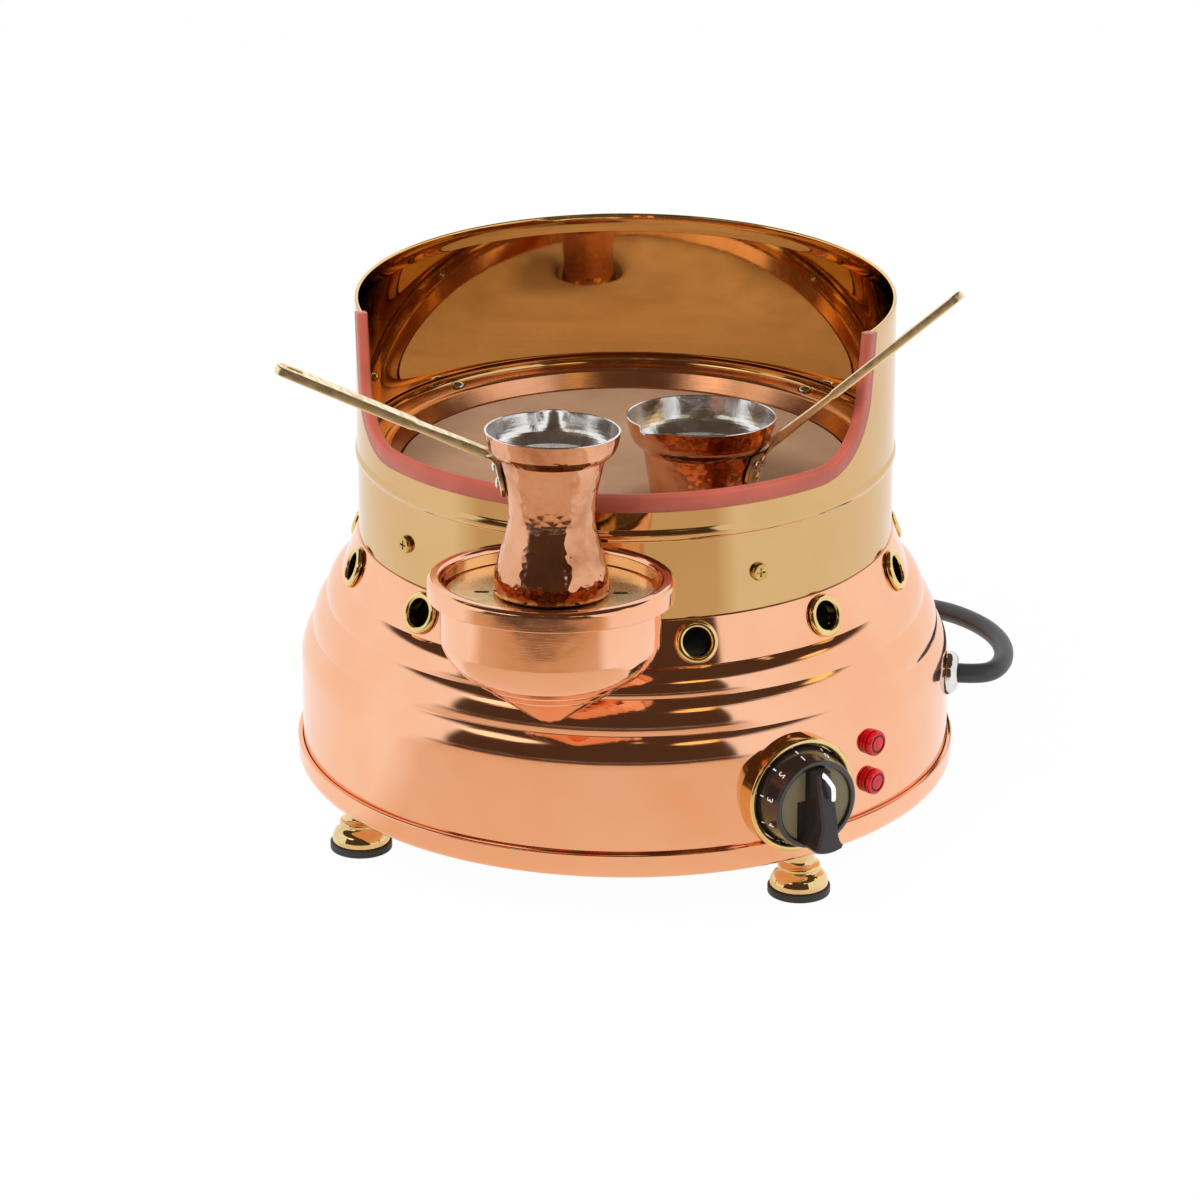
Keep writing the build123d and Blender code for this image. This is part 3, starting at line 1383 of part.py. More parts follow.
def inner_wires():
    """Insulated wires between cord, terminal block, thermostat and element, each ending at its terminal."""
    base = pan_z + pan_sheet
    cord_end = inner_cord_length + loose_gap
    hole, lead = terminal_width / 2 - 4, terminal_width / 2 + 14
    tabs = thermostat_front() + thermostat_plate + thermostat_depth + tab_length + loose_gap
    middle = math.radians(180 + (360 - element_turn_degrees) / 2)
    leg_z = pan_z + tray_floor - tray_sheet - element_radius - element_leg - metal_gap - loose_gap
    legs = [(element_circle * math.cos(middle + turn), element_circle * math.sin(middle + turn))
            for turn in (0, math.radians(element_turn_degrees))]
    block, knob, gland = terminal_place(), knob_place(), gland_place()
    wires = [
        wire(spot(gland, 0, 0, -cord_end), spot(gland, 0, 0, -cord_end - 16),
             spot(block, -terminal_pitch, -lead, 2), spot(block, -terminal_pitch, -hole, 2)),
        wire(spot(block, -terminal_pitch, hole, 2), spot(block, -terminal_pitch, lead, 2),
             spot(knob, tab_side, tab_height, -tabs - 14), spot(knob, tab_side, tab_height, -tabs)),
        wire(spot(knob, -tab_side, tab_height, -tabs), spot(knob, -tab_side, tab_height, -tabs - 14),
             (20, -20, base + 26), (-20, 0, base + 40), (*legs[0], leg_z - 14), (*legs[0], leg_z)),
        wire(spot(block, terminal_pitch, hole, 2), spot(block, terminal_pitch, lead, 2),
             (30, 30, base + 18), (-30, 26, base + 34), (*legs[1], leg_z - 14), (*legs[1], leg_z)),
    ]
    return group(wires)


def build():
    small_pot, small_handle, small_rivets = small_pot_pieces()
    large_pot, large_handle, large_rivets = large_pot_pieces()
    return {
        "base_pan": base_pan(),
        "outer_shell": outer_shell(),
        "corner_brackets": corner_brackets(),
        "brass_feet": brass_feet(),
        "rubber_pads": rubber_pads(),
        "foot_nuts": foot_nuts(),
        "vent_eyelets": vent_eyelets(),
        "windshield_drum": windshield_drum(),
        "windshield_trim": windshield_trim(),
        "drum_screws": drum_screws(),
        "drum_nuts": drum_nuts(),
        "sand_tray": sand_tray(),
        "tray_support_ring": tray_support_ring(),
        "tray_screws": tray_screws(),
        "tray_nuts": tray_nuts(),
        "sand": sand(),
        "heating_element": heating_element(),
        "clamp_bar": clamp_bar(),
        "heater_stud": heater_stud(),
        "insulation_disc": insulation_disc(),
        "heat_shield": heat_shield(),
        "shield_posts": shield_posts(),
        "thermostat_body": thermostat_body(),
        "thermostat_screws": thermostat_screws(),
        "thermostat_shaft": thermostat_shaft(),
        "thermostat_bulb": capillary_and_bulb(),
        "knob_bezel": knob_bezel(),
        "knob": knob_body(),
        "knob_inset": knob_inset(),
        "knob_pointer": knob_pointer(),
        "lamp_lenses": lamp_lenses(),
        "lamp_bodies": lamp_bodies(),
        "lamp_nuts": lamp_nuts(),
        "stand_bowl": stand_bowl(),
        "bowl_bracket": bowl_bracket(),
        "bracket_bolts": bracket_bolts(),
        "bowl_screws": bowl_screws(),
        "drip_plate": drip_plate(),
        "small_pot": small_pot,
        "small_pot_handle": small_handle,
        "small_pot_rivets": small_rivets,
        "large_pot": large_pot,
        "large_pot_handle": large_handle,
        "large_pot_rivets": large_rivets,
        "cord_gland": cord_gland(),
        "gland_nut": gland_nut(),
        "inner_cord": inner_cord(),
        "cord_clamp": cord_clamp(),
        "terminal_block": terminal_block(),
        "earth_stud": earth_stud(),
        "inner_wires": inner_wires(),
        "power_cord": power_cord(),
        "cord_coil": cord_coil(),
        "coil_tie": coil_tie(),
        "mains_plug": mains_plug(),
        "plug_pins": plug_pins(),
    }


cord_pieces = ("power_cord", "cord_coil", "coil_tie", "mains_plug", "plug_pins")


def main():
    pieces = build()
    own = [pieces[name].bounding_box() for name in pieces if name not in cord_pieces]
    middle_x = (min(box.min.X for box in own) + max(box.max.X for box in own)) / 2
    middle_y = (min(box.min.Y for box in own) + max(box.max.Y for box in own)) / 2
    print("machine axis in the row frame:", round(-middle_x, 3), round(-middle_y, 3))
    os.makedirs("parts", exist_ok=True)
    for name, piece in pieces.items():
        export_step(Pos(-middle_x, -middle_y, 0) * piece, f"parts/{name}.step")


main()
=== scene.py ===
import json
from math import asin, atan2, cos, degrees, exp, hypot, pi, radians, sin, sqrt, tan

import bmesh
import bpy
from mathutils import Matrix, Vector


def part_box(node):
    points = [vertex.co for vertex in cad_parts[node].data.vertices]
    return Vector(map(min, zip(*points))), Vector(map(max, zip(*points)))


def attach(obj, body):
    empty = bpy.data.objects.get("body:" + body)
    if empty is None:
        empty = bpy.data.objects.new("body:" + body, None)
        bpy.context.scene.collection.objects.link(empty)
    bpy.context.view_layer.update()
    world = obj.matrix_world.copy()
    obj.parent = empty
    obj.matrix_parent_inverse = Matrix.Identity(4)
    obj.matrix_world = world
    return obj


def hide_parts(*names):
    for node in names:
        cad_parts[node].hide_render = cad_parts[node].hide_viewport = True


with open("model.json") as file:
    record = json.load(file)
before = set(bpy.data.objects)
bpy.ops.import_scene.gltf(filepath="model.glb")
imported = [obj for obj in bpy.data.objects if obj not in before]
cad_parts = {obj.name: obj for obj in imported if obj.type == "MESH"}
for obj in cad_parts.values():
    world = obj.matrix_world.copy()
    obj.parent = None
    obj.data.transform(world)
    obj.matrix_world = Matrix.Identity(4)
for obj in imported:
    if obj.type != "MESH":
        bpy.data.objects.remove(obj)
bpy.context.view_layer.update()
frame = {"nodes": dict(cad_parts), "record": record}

# The machine stands on z = 0 with its own axis at the middle of the base pan. Sizes here are in
# millimetres round that axis, as in the part's source, and to_row takes them to the row frame.
pan_low, pan_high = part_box("base_pan")
axis_x = (pan_low[0] + pan_high[0]) / 2
axis_y = (pan_low[1] + pan_high[1]) / 2
pan_z = pan_low[2] * 1000
to_row = Matrix.Translation((axis_x, axis_y, 0)) @ Matrix.Scale(0.001, 4)
machine = "heater"
front_turn = 10.5


def turned(azimuth):
    return Matrix.Rotation(radians(azimuth), 4, "Z")


def moved(x, y, z):
    return Matrix.Translation((x, y, z))


def facing(azimuth, radius, height, tip=0.0):
    """A place on the casing whose own Z points outwards, tipped up from level by the angle given."""
    return turned(azimuth) @ moved(0, -radius, height) @ Matrix.Rotation(radians(90 - tip), 4, "X")


def aimed(name, data, spot, away):
    """A camera or lamp at a place in the row frame, looking back along the direction given."""
    thing = bpy.data.objects.new(name, data)
    bpy.context.collection.objects.link(thing)
    thing.location = spot
    thing.rotation_mode = "QUATERNION"
    thing.rotation_quaternion = (-away).to_track_quat("-Z", "Y")
    return thing


# Camera, at the photograph's angle
camera_distance = 3000.0
camera_elevation = 21.19
look_at = turned(front_turn) @ Vector((-14.1, 0, pan_z + 90.27))
lift = radians(camera_elevation)
back = turned(front_turn) @ Vector((0, -cos(lift), sin(lift)))
camera = aimed("camera", bpy.data.cameras.new("camera"), to_row @ (look_at + back * camera_distance), back)
camera.data.sensor_width = 36.0
camera.data.lens = 160.1
camera.data.clip_start = 0.05
camera.data.clip_end = 60.0
bpy.context.scene.camera = camera
bpy.context.scene.view_settings.view_transform = "Standard"


# Power cord: one line from the gland to the plug, through the coil
cord_radius = 5.5
cord_points = [
    (200.7, 10.5, 83.5),
    (208.3, 19.0, 83.4),
    (210.8, 37.0, 83.0),
    (207.5, 60.0, 82.0),
    (198.5, 83.0, 80.5),
    (184.0, 106.0, 78.0),
    (165.0, 130.0, 73.5),
    (143.0, 153.0, 66.0),
    (119.0, 173.0, 55.5),
    (93.0, 190.5, 42.5),
    (66.0, 205.5, 28.8),
    (38.5, 217.5, 17.0),
    (11.0, 226.5, 9.2),
    (-16.0, 231.0, 6.6),
    (-42.0, 231.0, 6.6),
]
coil_outer_radius = 66.0
coil_pitch = 11.6
coil_z = 6.6
coil_turns_each_layer = 1.25
coil_end_run = 30.0
coil_points_each_turn = 16
gland_azimuth = 93.0
gland_height = pan_z + 56.0
shell_radius = 182.0
gland_depth = 8.0
cord_exit = facing(gland_azimuth, shell_radius, gland_height) @ Vector((0, 0, gland_depth))
coil_centre = Vector((cord_points[-1][0] - 2 * cord_radius, cord_points[-1][1] + coil_outer_radius, 0))


def coil_point(turns):
    """Middle of the cord in the coil after so many turns: in along the lower layer, out along the upper."""
    each = coil_turns_each_layer
    deepest = each + 0.25
    radius = coil_outer_radius - coil_pitch * (deepest - abs(turns - deepest))
    part = min(max((turns - each) / 0.5, 0), 1)
    height = coil_z + coil_pitch * part * part * (3 - 2 * part)
    angle = radians(-90 - 360 * turns)
    return coil_centre + Vector((radius * cos(angle), radius * sin(angle), height))


def cord_line():
    """Control points of the cord: the listed run, the coil's turns and the straight end at the plug."""
    line = [cord_exit] + [Vector(point) for point in cord_points]
    total = 2 * coil_turns_each_layer + 0.5
    out = 1 / cos(pi / coil_points_each_turn) ** 0.6
    for step in range(1, round(total * coil_points_each_turn)):
        spot = coil_point(step / coil_points_each_turn)
        flat = Vector((spot.x - coil_centre.x, spot.y - coil_centre.y, 0)) * out
        line.append(Vector((coil_centre.x + flat.x, coil_centre.y + flat.y, spot.z)))
    end = coil_point(total)
    line += [end, end + Vector((-coil_end_run / 2, 0, 0)), end + Vector((-coil_end_run, 0, 0))]
    return line


cord_curve = bpy.data.curves.new("cord", "CURVE")
cord_curve.dimensions = "3D"
cord_curve.bevel_depth = cord_radius / 1000
cord_curve.bevel_resolution = 8
cord_curve.resolution_u = 10
cord_curve.use_fill_caps = True
cord_spline = cord_curve.splines.new("NURBS")
route = cord_line()
cord_spline.points.add(len(route) - 1)
for control, spot in zip(cord_spline.points, route):
    control.co = (*(to_row @ spot), 1.0)
cord_spline.order_u = 3
cord_spline.use_endpoint_u = True
cord_curve.materials.append(bpy.data.materials.new("cord_rubber"))
cord = bpy.data.objects.new("cord", cord_curve)
bpy.context.collection.objects.link(cord)
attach(cord, machine)
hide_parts("power_cord", "cord_coil")


# Node helpers
class Nodes:
    """Short ways to fill a node tree; a socket takes a number, a colour or another node's output."""

    def __init__(self, tree):
        self.tree = tree

    def put(self, socket, value):
        if isinstance(value, bpy.types.NodeSocket):
            self.tree.links.new(value, socket)
        else:
            socket.default_value = (*value, 1.0) if isinstance(value, tuple) else value

    def add(self, kind, sockets=None, **settings):
        node = self.tree.nodes.new("ShaderNode" + kind)
        for key, value in settings.items():
            setattr(node, key, value)
        for key, value in (sockets or {}).items():
            self.put(node.inputs[key], value)
        return node

    def place(self):
        """Position in the row frame, in metres."""
        return self.add("TexCoord").outputs["Object"]

    def math(self, operation, *values):
        return self.add("Math", dict(enumerate(values)), operation=operation).outputs[0]

    def distance(self, x, y):
        return self.math("SQRT", self.math("ADD", self.math("MULTIPLY", x, x), self.math("MULTIPLY", y, y)))

    def bearing(self, x, y):
        """Degrees to the right of the direction that the photograph looks from."""
        turn = self.math("ARCTAN2", x, self.math("MULTIPLY", y, -1.0))
        return self.math("SUBTRACT", self.math("MULTIPLY", turn, 180 / pi), front_turn)

    def noise(self, scale, detail=2.0, rough=0.5, distortion=0.0, vector=None, output="Fac"):
        vector = self.place() if vector is None else vector
        return self.add("TexNoise", {"Vector": vector, "Scale": scale, "Detail": detail, "Roughness": rough,
                                     "Distortion": distortion}).outputs[output]

    def ramp(self, value, *stops):
        """Colours along a value from 0 to 1."""
        node = self.add("ValToRGB", {"Fac": value})
        while len(node.color_ramp.elements) < len(stops):
            node.color_ramp.elements.new(0.5)
        for element, (position, colour) in zip(node.color_ramp.elements, stops):
            element.position = position
            element.color = (*colour, 1.0)
        return node.outputs["Color"]

    def spread(self, value, low, high, to_low, to_high):
        return self.add("MapRange", {"Value": value, "From Min": low, "From Max": high, "To Min": to_low,
                                     "To Max": to_high}).outputs["Result"]

    def ease(self, value, low, high):
        """From 0 to 1 in a smooth step between two values."""
        return self.add("MapRange", {"Value": value, "From Min": low, "From Max": high},
                        interpolation_type="SMOOTHSTEP").outputs["Result"]

    def mixed(self, amount, first, second):
        sockets = {"Factor": amount, "A": first, "B": second}
        return self.add("Mix", sockets, data_type="RGBA").outputs["Result"]

    def blend(self, amount, first, second):
        """One shader over another."""
        return self.add("MixShader", {0: amount, 1: first, 2: second}).outputs[0]

    def bump(self, height, strength, distance, below=None):
        sockets = {"Strength": strength, "Distance": distance, "Height": height}
        if below is not None:
            sockets["Normal"] = below
        return self.add("Bump", sockets).outputs["Normal"]

    def round_axis(self, centre_x, centre_y, along):
        """Radius, turn and height round an upright axis, for textures that follow the spinning."""
        x, y, z = self.add("SeparateXYZ", {0: self.place()}).outputs
        x = self.math("SUBTRACT", x, centre_x)
        y = self.math("SUBTRACT", y, centre_y)
        turn = self.math("MULTIPLY", self.math("ARCTAN2", x, y), along)
        return self.add("CombineXYZ", {0: self.distance(x, y), 1: turn, 2: z}).outputs[0]


class Shader(Nodes):
    """A material with its principled shader; the cord's is there already, on the curve."""

    def __init__(self, name):
        self.material = (cord_curve.materials[0] if name == "cord_rubber" else
                         bpy.data.materials.new(name))
        self.material.use_nodes = True
        super().__init__(self.material.node_tree)
        self.surface = self.tree.nodes["Principled BSDF"]

    def look(self, **values):
        """Fills the principled shader's sockets and gives the material."""
        for key, value in values.items():
            self.put(self.surface.inputs[key.replace("_", " ")], value)
        return self.material


copper_tone = ((0.93, 0.47, 0.27), (0.965, 0.53, 0.34))


def spun_metal(name, tone, roughness, centre=(axis_x, axis_y), lines=0.02, waves=0.05, wave_scale=26.0):
    """Polished sheet metal: faint lines of the spinning, slight waves and patches of duller polish."""
    s = Shader(name)
    marks = s.noise(2400.0, vector=s.round_axis(*centre, 0.004))
    smudges = s.noise(46.0, 4.0, 0.6)
    dull = s.math("ADD", s.math("MULTIPLY", marks, 0.35), s.math("MULTIPLY", smudges, 0.65))
    rings = s.bump(marks, lines, 0.0004)
    return s.look(Metallic=1.0, Base_Color=s.ramp(s.noise(18.0, 3.0), (0.3, tone[0]), (0.7, tone[1])),
                  Roughness=s.spread(dull, 0.3, 0.7, *roughness),
                  Normal=s.bump(s.noise(wave_scale, 1.5), waves, 0.004, rings))


def hammered_metal(name, tone):
    """Raised copper with overlapping hammer marks and a few darker heat stains."""
    s = Shader(name)
    small = s.add("VectorMath", {0: s.noise(60.0, output="Color"), "Scale": 0.004}, operation="SCALE")
    warp = s.add("VectorMath", {0: s.place(), 1: small.outputs[0]}, operation="ADD")
    cells = s.add("TexVoronoi", {"Vector": warp.outputs[0], "Scale": 230.0, "Smoothness": 0.2},
                  feature="SMOOTH_F1")
    stains = s.noise(38.0, 5.0, 0.6)
    dents = s.bump(cells.outputs["Distance"], 0.42, 0.0008)
    return s.look(Metallic=1.0,
                  Base_Color=s.ramp(stains, (0.28, (0.50, 0.20, 0.10)), (0.48, tone[0]), (0.75, tone[1])),
                  Roughness=s.spread(stains, 0.3, 0.7, 0.06, 0.16),
                  Normal=s.bump(s.noise(900.0), 0.06, 0.0003, dents))


def tinned_metal(name):
    """Tin wiped on by hand: bright, with streaks and small beads."""
    s = Shader(name)
    streaks = s.noise(70.0, 5.0, 0.65, 0.8)
    colour = s.ramp(streaks, (0.3, (0.72, 0.70, 0.68)), (0.55, (0.90, 0.89, 0.88)), (0.8, (0.95, 0.95, 0.95)))
    return s.look(Metallic=1.0, Base_Color=colour, Roughness=s.spread(streaks, 0.3, 0.7, 0.12, 0.30),
                  Normal=s.bump(streaks, 0.25, 0.0012))


def plain_metal(name, colour, roughness, grain=300.0, strength=0.04):
    s = Shader(name)
    worn = s.noise(grain, 3.0)
    darker = tuple(channel * 0.86 for channel in colour)
    return s.look(Metallic=1.0, Base_Color=s.ramp(worn, (0.3, darker), (0.7, colour)),
                  Roughness=s.spread(worn, 0.3, 0.7, roughness * 0.8, roughness * 1.3),
                  Normal=s.bump(worn, strength, 0.0005))


def plain_plastic(name, colour, roughness, grain=900.0, strength=0.05, coat=0.0):
    s = Shader(name)
    fine = s.noise(grain)
    darker = tuple(channel * 0.82 for channel in colour)
    return s.look(Coat_Weight=coat, Coat_Roughness=0.06,
                  Base_Color=s.ramp(s.noise(55.0, 3.0), (0.3, darker), (0.7, colour)),
                  Roughness=s.spread(fine, 0.3, 0.7, roughness * 0.85, roughness * 1.2),
                  Normal=s.bump(fine, strength, 0.0003))


def sand_grains():
    s = Shader("sand")
    fine = s.noise(2600.0, 3.0, 0.7)
    broad = s.noise(30.0, 3.0)
    mixed = s.math("ADD", s.math("MULTIPLY", fine, 0.7), s.math("MULTIPLY", broad, 0.3))
    colour = s.ramp(mixed, (0.3, (0.27, 0.15, 0.085)), (0.55, (0.43, 0.25, 0.145)), (0.8, (0.60, 0.37, 0.23)))
    return s.look(Roughness=0.85, Base_Color=colour,
                  Normal=s.bump(fine, 0.5, 0.0005, s.bump(broad, 0.4, 0.004)))


def cut_brass(name):
    """Cast brass with shallow scrolls engraved along it, brighter on their crests."""
    s = Shader(name)
    scroll = s.add("TexWave", {"Vector": s.place(), "Scale": 60.0, "Distortion": 7.0, "Detail": 1.5,
                               "Detail Scale": 2.5}, wave_type="RINGS", rings_direction="SPHERICAL")
    crest = scroll.outputs["Fac"]
    colour = s.ramp(crest, (0.2, (0.90, 0.68, 0.38)), (0.6, (0.99, 0.86, 0.60)))
    return s.look(Metallic=0.8, Base_Color=colour, Roughness=s.spread(crest, 0.0, 1.0, 0.40, 0.30),
                  Normal=s.bump(crest, 0.06, 0.0003))


def red_lamp(name, light, dark):
    """Tinted lens: deep red, brighter where the lamp behind it shows through."""
    s = Shader(name)
    return s.look(Roughness=0.12, Base_Color=s.ramp(s.noise(120.0, 1.0), (0.35, dark), (0.65, light)))


# Materials
copper = spun_metal("copper", copper_tone, (0.05, 0.11))
# Shell's inner side: unpolished copper, its colour darkened far below copper's own as painted shade, so the
# vent holes look black.
unpolished_shaded_copper = plain_metal("unpolished_shaded_copper", (0.16, 0.07, 0.04), 0.55)
tray_copper = spun_metal("tray_copper", ((0.80, 0.36, 0.18), (0.88, 0.43, 0.24)), (0.16, 0.30), lines=0.05,
                         waves=0.04)
bowl_distance = 216.0
bowl_middle = (axis_x, axis_y - bowl_distance / 1000)
bowl_copper = spun_metal("bowl_copper", copper_tone, (0.06, 0.13), bowl_middle, 0.018, 0.03, 60.0)
drum_brass = spun_metal("drum_brass", ((0.66, 0.41, 0.175), (0.70, 0.45, 0.205)), (0.05, 0.09), lines=0.01,
                        waves=0.02)
# The drum's inner side: a brighter, yellower copy of the drum's brass, painted light.
inner_brass_painted_light = spun_metal("inner_brass_painted_light", ((0.86, 0.55, 0.19), (0.95, 0.66, 0.26)), (0.015, 0.035), lines=0.004,
                         waves=0.008)
bright_brass = plain_metal("bright_brass", (0.90, 0.66, 0.28), 0.08, 120.0, 0.02)
screw_brass = plain_metal("screw_brass", (0.66, 0.45, 0.15), 0.16, 300.0, 0.02)
foot_brass = plain_metal("foot_brass", (0.88, 0.66, 0.34), 0.05, 120.0, 0.01)
plate_brass = spun_metal("plate_brass", ((0.92, 0.78, 0.36), (0.98, 0.87, 0.48)), (0.20, 0.34), bowl_middle,
                         0.05, 0.10, 70.0)
handle_brass = cut_brass("handle_brass")
handle_side = plain_metal("handle_side", (0.99, 0.82, 0.50), 0.30, 160.0, 0.01)
pot_copper = hammered_metal("pot_copper", ((0.74, 0.36, 0.20), (0.84, 0.45, 0.28)))
tin = tinned_metal("tin")
steel = plain_metal("steel", (0.62, 0.61, 0.60), 0.28)
chrome = plain_metal("chrome", (0.82, 0.81, 0.80), 0.07, 160.0, 0.02)
dark_steel = plain_metal("dark_steel", (0.20, 0.19, 0.18), 0.45)
silicone = plain_plastic("silicone", (0.43, 0.085, 0.050), 0.36, 500.0, 0.02)
rubber = plain_plastic("rubber", (0.022, 0.022, 0.023), 0.48, 1100.0, 0.12)
cord_rubber = plain_plastic("cord_rubber", (0.030, 0.030, 0.031), 0.42, 1500.0, 0.08)
knob_plastic = plain_plastic("knob_plastic", (0.022, 0.014, 0.012), 0.16, 300.0, 0.01, 0.6)
grip_plastic = plain_plastic("grip_plastic", (0.020, 0.014, 0.013), 0.20, 500.0, 0.01)
olive_plastic = plain_plastic("olive_plastic", (0.16, 0.125, 0.06), 0.35, 800.0, 0.04)
white_paint = plain_plastic("white_paint", (0.86, 0.85, 0.86), 0.30, 700.0, 0.02)
lens_red = red_lamp("lens_red", (0.62, 0.006, 0.012), (0.42, 0.003, 0.006))
# Grooves of the lens: a near-black copy of the red lens, painted shade in its grooves.
lens_groove_shade = red_lamp("lens_groove_shade", (0.12, 0.002, 0.004), (0.06, 0.001, 0.002))
lamp_plastic = plain_plastic("lamp_plastic", (0.70, 0.70, 0.66), 0.45)
porcelain = plain_plastic("porcelain", (0.82, 0.80, 0.74), 0.20, 300.0, 0.02, 0.4)
wool = plain_plastic("mineral_wool", (0.30, 0.28, 0.23), 0.95, 1400.0, 0.6)
sleeve = plain_plastic("wire_sleeve", (0.66, 0.62, 0.52), 0.70, 1500.0, 0.2)
sand_look = sand_grains()

# Mesh helpers: outlines are in millimetres round the machine's axis
node_slot = {entry["node"]: entry["material_slot"] for entry in frame["record"]["subparts"]}


def mesh_object(name, points, faces, materials=(), slots=(), weld=0.0):
    """An object of the points and faces given, its faces turned outward and near points joined."""
    mesh = bpy.data.meshes.new(name)
    mesh.from_pydata(points, [], faces)
    for material in materials:
        mesh.materials.append(material)
    for polygon, index in zip(mesh.polygons, slots):
        polygon.material_index = index
    work = bmesh.new()
    work.from_mesh(mesh)
    if weld:
        bmesh.ops.remove_doubles(work, verts=work.verts, dist=weld)
    bmesh.ops.recalc_face_normals(work, faces=work.faces)
    work.to_mesh(mesh)
    work.free()
    piece = bpy.data.objects.new(name, mesh)
    bpy.context.collection.objects.link(piece)
    return piece


def show(name, node, points, faces, materials, body=machine, slots=(), sharp=32.0, slot=None):
    """A visible piece riding on a body and, if one is named, standing for a CAD node."""
    materials = materials if isinstance(materials, list) else [materials]
    points = [to_row @ Vector(point) for point in points]
    piece = mesh_object(name, points, faces, materials, slots, 1e-7)
    piece.data.shade_smooth()
    piece.data.set_sharp_from_angle(angle=radians(sharp))
    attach(piece, body)
    if node:
        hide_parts(node)
    slot or node_slot[node]
    return piece


def strip(low, high, count=None):
    """Faces between two rows of vertex numbers, all the way round or as many as the count says."""
    total = len(low)
    return [[low[k], low[(k + 1) % total], high[(k + 1) % total], high[k]] for k in range(count or total)]


def joined(*parts):
    """One list of vertices and one of faces from parts that each have a place, vertices and faces."""
    verts, faces = [], []
    for place, part_verts, part_faces in parts:
        start = len(verts)
        verts += [tuple(place @ Vector(v)) for v in part_verts]
        faces += [[v + start for v in face] for face in part_faces]
    return verts, faces


def directions(points):
    """The unit direction of a line at each of its points."""
    last = len(points) - 1
    return [(Vector(points[min(i + 1, last)]) - Vector(points[max(i - 1, 0)])).normalized()
            for i in range(last + 1)]


def arc(first, second, bulge, count=12):
    """Points of an arc between two points, without the first; a bulge moves its middle to the right."""
    start, end = Vector(first), Vector(second)
    chord = end - start
    half = chord.length / 2
    if abs(bulge) < 1e-6:
        return [tuple(end)]
    side = Vector((chord.y, -chord.x)).normalized()
    radius = (half * half + bulge * bulge) / (2 * abs(bulge))
    sign = 1 if bulge > 0 else -1
    centre = (start + end) / 2 + side * (bulge - sign * radius)
    a = atan2(start.y - centre.y, start.x - centre.x)
    b = atan2(end.y - centre.y, end.x - centre.x)
    turn = (b - a + pi) % (2 * pi) - pi
    return [(centre.x + radius * cos(a + turn * k / count), centre.y + radius * sin(a + turn * k / count))
            for k in range(1, count + 1)]


def outline(*moves, soft=0.0, up=0.0):
    """A chain of (radius, height) points, its corners softened and the whole raised where this is asked.

    A move may carry a bulge and a point count as third and fourth.
    """
    points = [moves[0]]
    for move in moves[1:]:
        points += [move] if len(move) == 2 else arc(points[-1], move[:2], *move[2:])
    if soft:
        points = softened(points, soft)
    return [(radius, height + up) for radius, height in points]


def softened(points, radius, count=3, closed=True):
    """The chain with its sharp corners rounded by small arcs."""
    total = len(points)
    made = []
    for index, point in enumerate(points):
        if not closed and index in (0, total - 1):
            made.append(point)
            continue
        here = Vector(point)
        before, after = Vector(points[index - 1]), Vector(points[(index + 1) % total])
        into, out = here - before, after - here
        if into.length < 1e-9 or out.length < 1e-9 or point[0] < 1e-6:
            made.append(point)
            continue
        turn = into.angle(out)
        if turn < radians(25):
            made.append(point)
            continue
        reach = min(radius * tan(turn / 2), into.length * 0.45, out.length * 0.45)
        start, end = here - into.normalized() * reach, here + out.normalized() * reach
        for step in range(count + 1):
            t = step / count
            made.append(tuple(start * (1 - t) ** 2 + here * 2 * t * (1 - t) + end * t ** 2))
    return made


def held(points, closed):
    """The outline with points near the ends of its longer runs, so that smooth shading keeps them flat."""
    made, runs = [], []
    total = len(points)
    for index in range(total if closed else total - 1):
        start, end = Vector(points[index]), Vector(points[(index + 1) % total])
        length = (end - start).length
        made.append(points[index])
        runs.append(index)
        if length > 1.0:
            for part in (0.2 / length, 1 - 0.2 / length):
                made.append(tuple(start.lerp(end, part)))
                runs.append(index)
    if not closed:
        made.append(points[-1])
    return made, runs


def spun(points, steps, closed=True, warp=None):
    """Vertices, faces and each face's segment for an outline turned round its own axis."""
    verts, rows = [], []
    for radius, height in points:
        start = len(verts)
        on_axis = radius < 1e-6
        for k in range(1 if on_axis else steps):
            angle = 2 * pi * k / steps
            spot = (radius * cos(angle), radius * sin(angle), height)
            verts.append(warp(spot) if warp else spot)
        rows.append([start] * steps if on_axis else list(range(start, start + steps)))
    faces, segments = [], []
    for segment, (low, high) in enumerate(zip(rows, rows[1:] + rows[:closed])):
        for quad in strip(low, high):
            corners = [v for n, v in enumerate(quad) if v not in quad[:n]]
            if len(corners) > 2:
                faces.append(corners)
                segments.append(segment)
    return verts, faces, segments


def lathe(name, node, points, materials, places=(Matrix(),), steps=192, body=machine, slots=None, closed=True,
          warp=None):
    """An outline turned round the local Z, once at each place; slots gives a material index per segment."""
    points, runs = held(points, closed)
    verts, faces, segments = spun(points, steps, closed, warp)
    indexes = [slots(runs[segment]) for segment in segments] * len(places) if slots else ()
    verts, faces = joined(*[(place, verts, faces) for place in places])
    return show(name, node, verts, faces, materials, body, slots=indexes)


def lofted(rings, endless=False):
    """Vertices and faces of a skin over rings of equal point counts, capped or led back to its first ring."""
    count = len(rings[0])
    rows = [list(range(i * count, (i + 1) * count)) for i in range(len(rings))]
    faces = [face for low, high in zip(rows, rows[1:]) for face in strip(low, high)]
    faces += strip(rows[-1], rows[0]) if endless else [rows[0][::-1], rows[-1]]
    return [point for ring in rings for point in ring], faces


def rounded_loop(width, height, radius, count=4):
    """Corner-rounded rectangle round the origin, as flat points."""
    loop = []
    for sx, sy, start in ((1, 1, 0), (-1, 1, 90), (-1, -1, 180), (1, -1, 270)):
        for step in range(count + 1):
            angle = radians(start + 90 * step / count)
            loop.append((sx * (width / 2 - radius) + radius * cos(angle),
                         sy * (height / 2 - radius) + radius * sin(angle)))
    return loop


